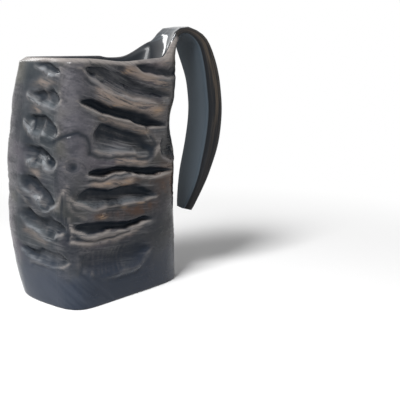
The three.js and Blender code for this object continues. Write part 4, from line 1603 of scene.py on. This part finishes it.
smooth_parts = ranged(tree, largest(tree, in_bore, upper_half), 0.02, 0.4)
bumped(tree, shader, times(tree, streaks, less(tree, 1.0, smooth_parts)), BUMP_STRENGTH, BUMP_DISTANCE)
dress(horn, horn_material)
print("horn finish:", len(tree.nodes), "nodes")

# %% [markdown]
# ## Plug and adhesive finish
# The plug is the same horn, sawn across and sanded to a satin, so its lines run straight across the disc
# and fine scratches cross them. The adhesive is a black resin, smooth but for a few cloudy spots.

# %% Plug
PLUG_LIGHT = (0.060, 0.055, 0.056, 1)
PLUG_DARK = (0.024, 0.024, 0.027, 1)
PLUG_SLANT = 0.4
PLUG_LINES = 900.0
SCRATCH_SCALE = (90.0, 2600.0)
SCRATCH_STRENGTH = 0.2
SCRATCH_DISTANCE = 0.0002

plug_material, tree, shader = new_material("sanded_horn")
x, y, _ = object_place(tree)
sawn = times(tree, added(tree, x, times(tree, y, PLUG_SLANT)), PLUG_LINES)
sawn_lines = ranged(tree, figure_in(tree, sawn, 0.0)["Lines"], 0.36, 0.62)
tree.links.new(mixed(tree, sawn_lines, PLUG_DARK, PLUG_LIGHT), shader.inputs["Base Color"])
scratches = grain(tree, scaled(tree, (x, y), SCRATCH_SCALE), detail=2.0)
tree.links.new(ranged(tree, scratches, 0.3, 0.7, 0.36, 0.55), shader.inputs["Roughness"])
bumped(tree, shader, scratches, SCRATCH_STRENGTH, SCRATCH_DISTANCE)
dress(plug, plug_material)

# %% Adhesive
RESIN = (0.010, 0.010, 0.012, 1)
RESIN_CLOUD = (0.024, 0.024, 0.027, 1)
RESIN_SCALE = (220.0, 220.0, 220.0)

resin_material, tree, shader = new_material("black_adhesive")
cloud = grain(tree, scaled(tree, object_place(tree), RESIN_SCALE), detail=2.0)
tree.links.new(mixed(tree, ranged(tree, cloud, 0.5, 0.7), RESIN, RESIN_CLOUD), shader.inputs["Base Color"])
tree.links.new(ranged(tree, cloud, 0.4, 0.7, 0.22, 0.4), shader.inputs["Roughness"])
dress(seal, resin_material)
print("dressed:", [piece.name for piece in (horn, plug, seal)])

# %% [markdown]
# ## Stage and light
# The mug stands on a plain pale floor that fades to white away from it, so the floor keeps the contact
# shadow and the background is clean. The white is only for rays that are seen: the camera's, and those
# that are mirrored or pass through. The light on the mug itself comes from an even, dimmer room and two
# softboxes: a broad bright one above, at the front left, and a tall, narrow, weak one behind at the left.
# The second stands where the saddle of the handle mirrors it to the camera, as a white hook.

# %% Floor
FLOOR_HALF = 4.0
FLOOR_PALE = (0.9, 0.9, 0.9, 1)
FLOOR_ROUGHNESS = 0.9
FADE_START = 0.14
FADE_END = 0.42
WHITE = (1, 1, 1, 1)

floor_bm = bmesh.new()
bmesh.ops.create_grid(floor_bm, x_segments=1, y_segments=1, size=FLOOR_HALF / MM)
floor = piece_from(floor_bm, "floor")


def seen_rays(tree):
    """1 for rays from the camera, mirrored rays and rays that pass through."""
    path = add(tree, "ShaderNodeLightPath").outputs
    return largest(tree, path["Is Camera Ray"], path["Is Glossy Ray"], path["Is Transmission Ray"])


def blended(tree, share, first, second, output):
    blend = add(tree, "ShaderNodeMixShader")
    for socket, value in zip(blend.inputs, (share, first.outputs[0], second.outputs[0])):
        tree.links.new(value, socket)
    tree.links.new(blend.outputs[0], output.inputs["Surface"])


floor_material, tree, shader = new_material("pale_floor")
shader.inputs["Base Color"].default_value = FLOOR_PALE
shader.inputs["Roughness"].default_value = FLOOR_ROUGHNESS
far = add(tree, "ShaderNodeVectorMath", operation="LENGTH")
tree.links.new(add(tree, "ShaderNodeTexCoord").outputs["Object"], far.inputs[0])
fade = times(tree, ranged(tree, far.outputs["Value"], FADE_START, FADE_END), seen_rays(tree))
far_white = add(tree, "ShaderNodeEmission", Color=WHITE, Strength=1.0)
blended(tree, fade, shader, far_white, tree.nodes["Material Output"])
dress(floor, floor_material)
print("floor fades to white from", FADE_START, "to", FADE_END, "m")

# %% Room and softboxes
ROOM_LEVEL = 0.24
LAMP_AIM = Vector((0.0, 0.0, 0.08))

world = bpy.data.worlds.new("studio")
scene.world = world
world.use_nodes = True
tree = world.node_tree
tree.nodes.clear()
room = add(tree, "ShaderNodeBackground", Color=WHITE, Strength=ROOM_LEVEL)
seen_white = add(tree, "ShaderNodeBackground", Color=WHITE, Strength=1.0)
blended(tree, seen_rays(tree), room, seen_white, add(tree, "ShaderNodeOutputWorld"))
scene.view_settings.view_transform = "Standard"


def softbox(name, place, width, height, power):
    lamp = bpy.data.lights.new(name, "AREA")
    lamp.shape = "RECTANGLE"
    lamp.size = width
    lamp.size_y = height
    lamp.energy = power
    holder = bpy.data.objects.new(name, lamp)
    holder.location = place
    holder.rotation_euler = (LAMP_AIM - Vector(place)).to_track_quat("-Z", "Y").to_euler()
    scene.collection.objects.link(holder)


softbox("top_softbox", (-0.46, -0.42, 0.85), 0.36, 0.36, 14.0)
softbox("back_softbox", (-0.36, 0.84, 0.56), 0.13, 0.42, 1.2)
print("room at", ROOM_LEVEL, "with two softboxes")
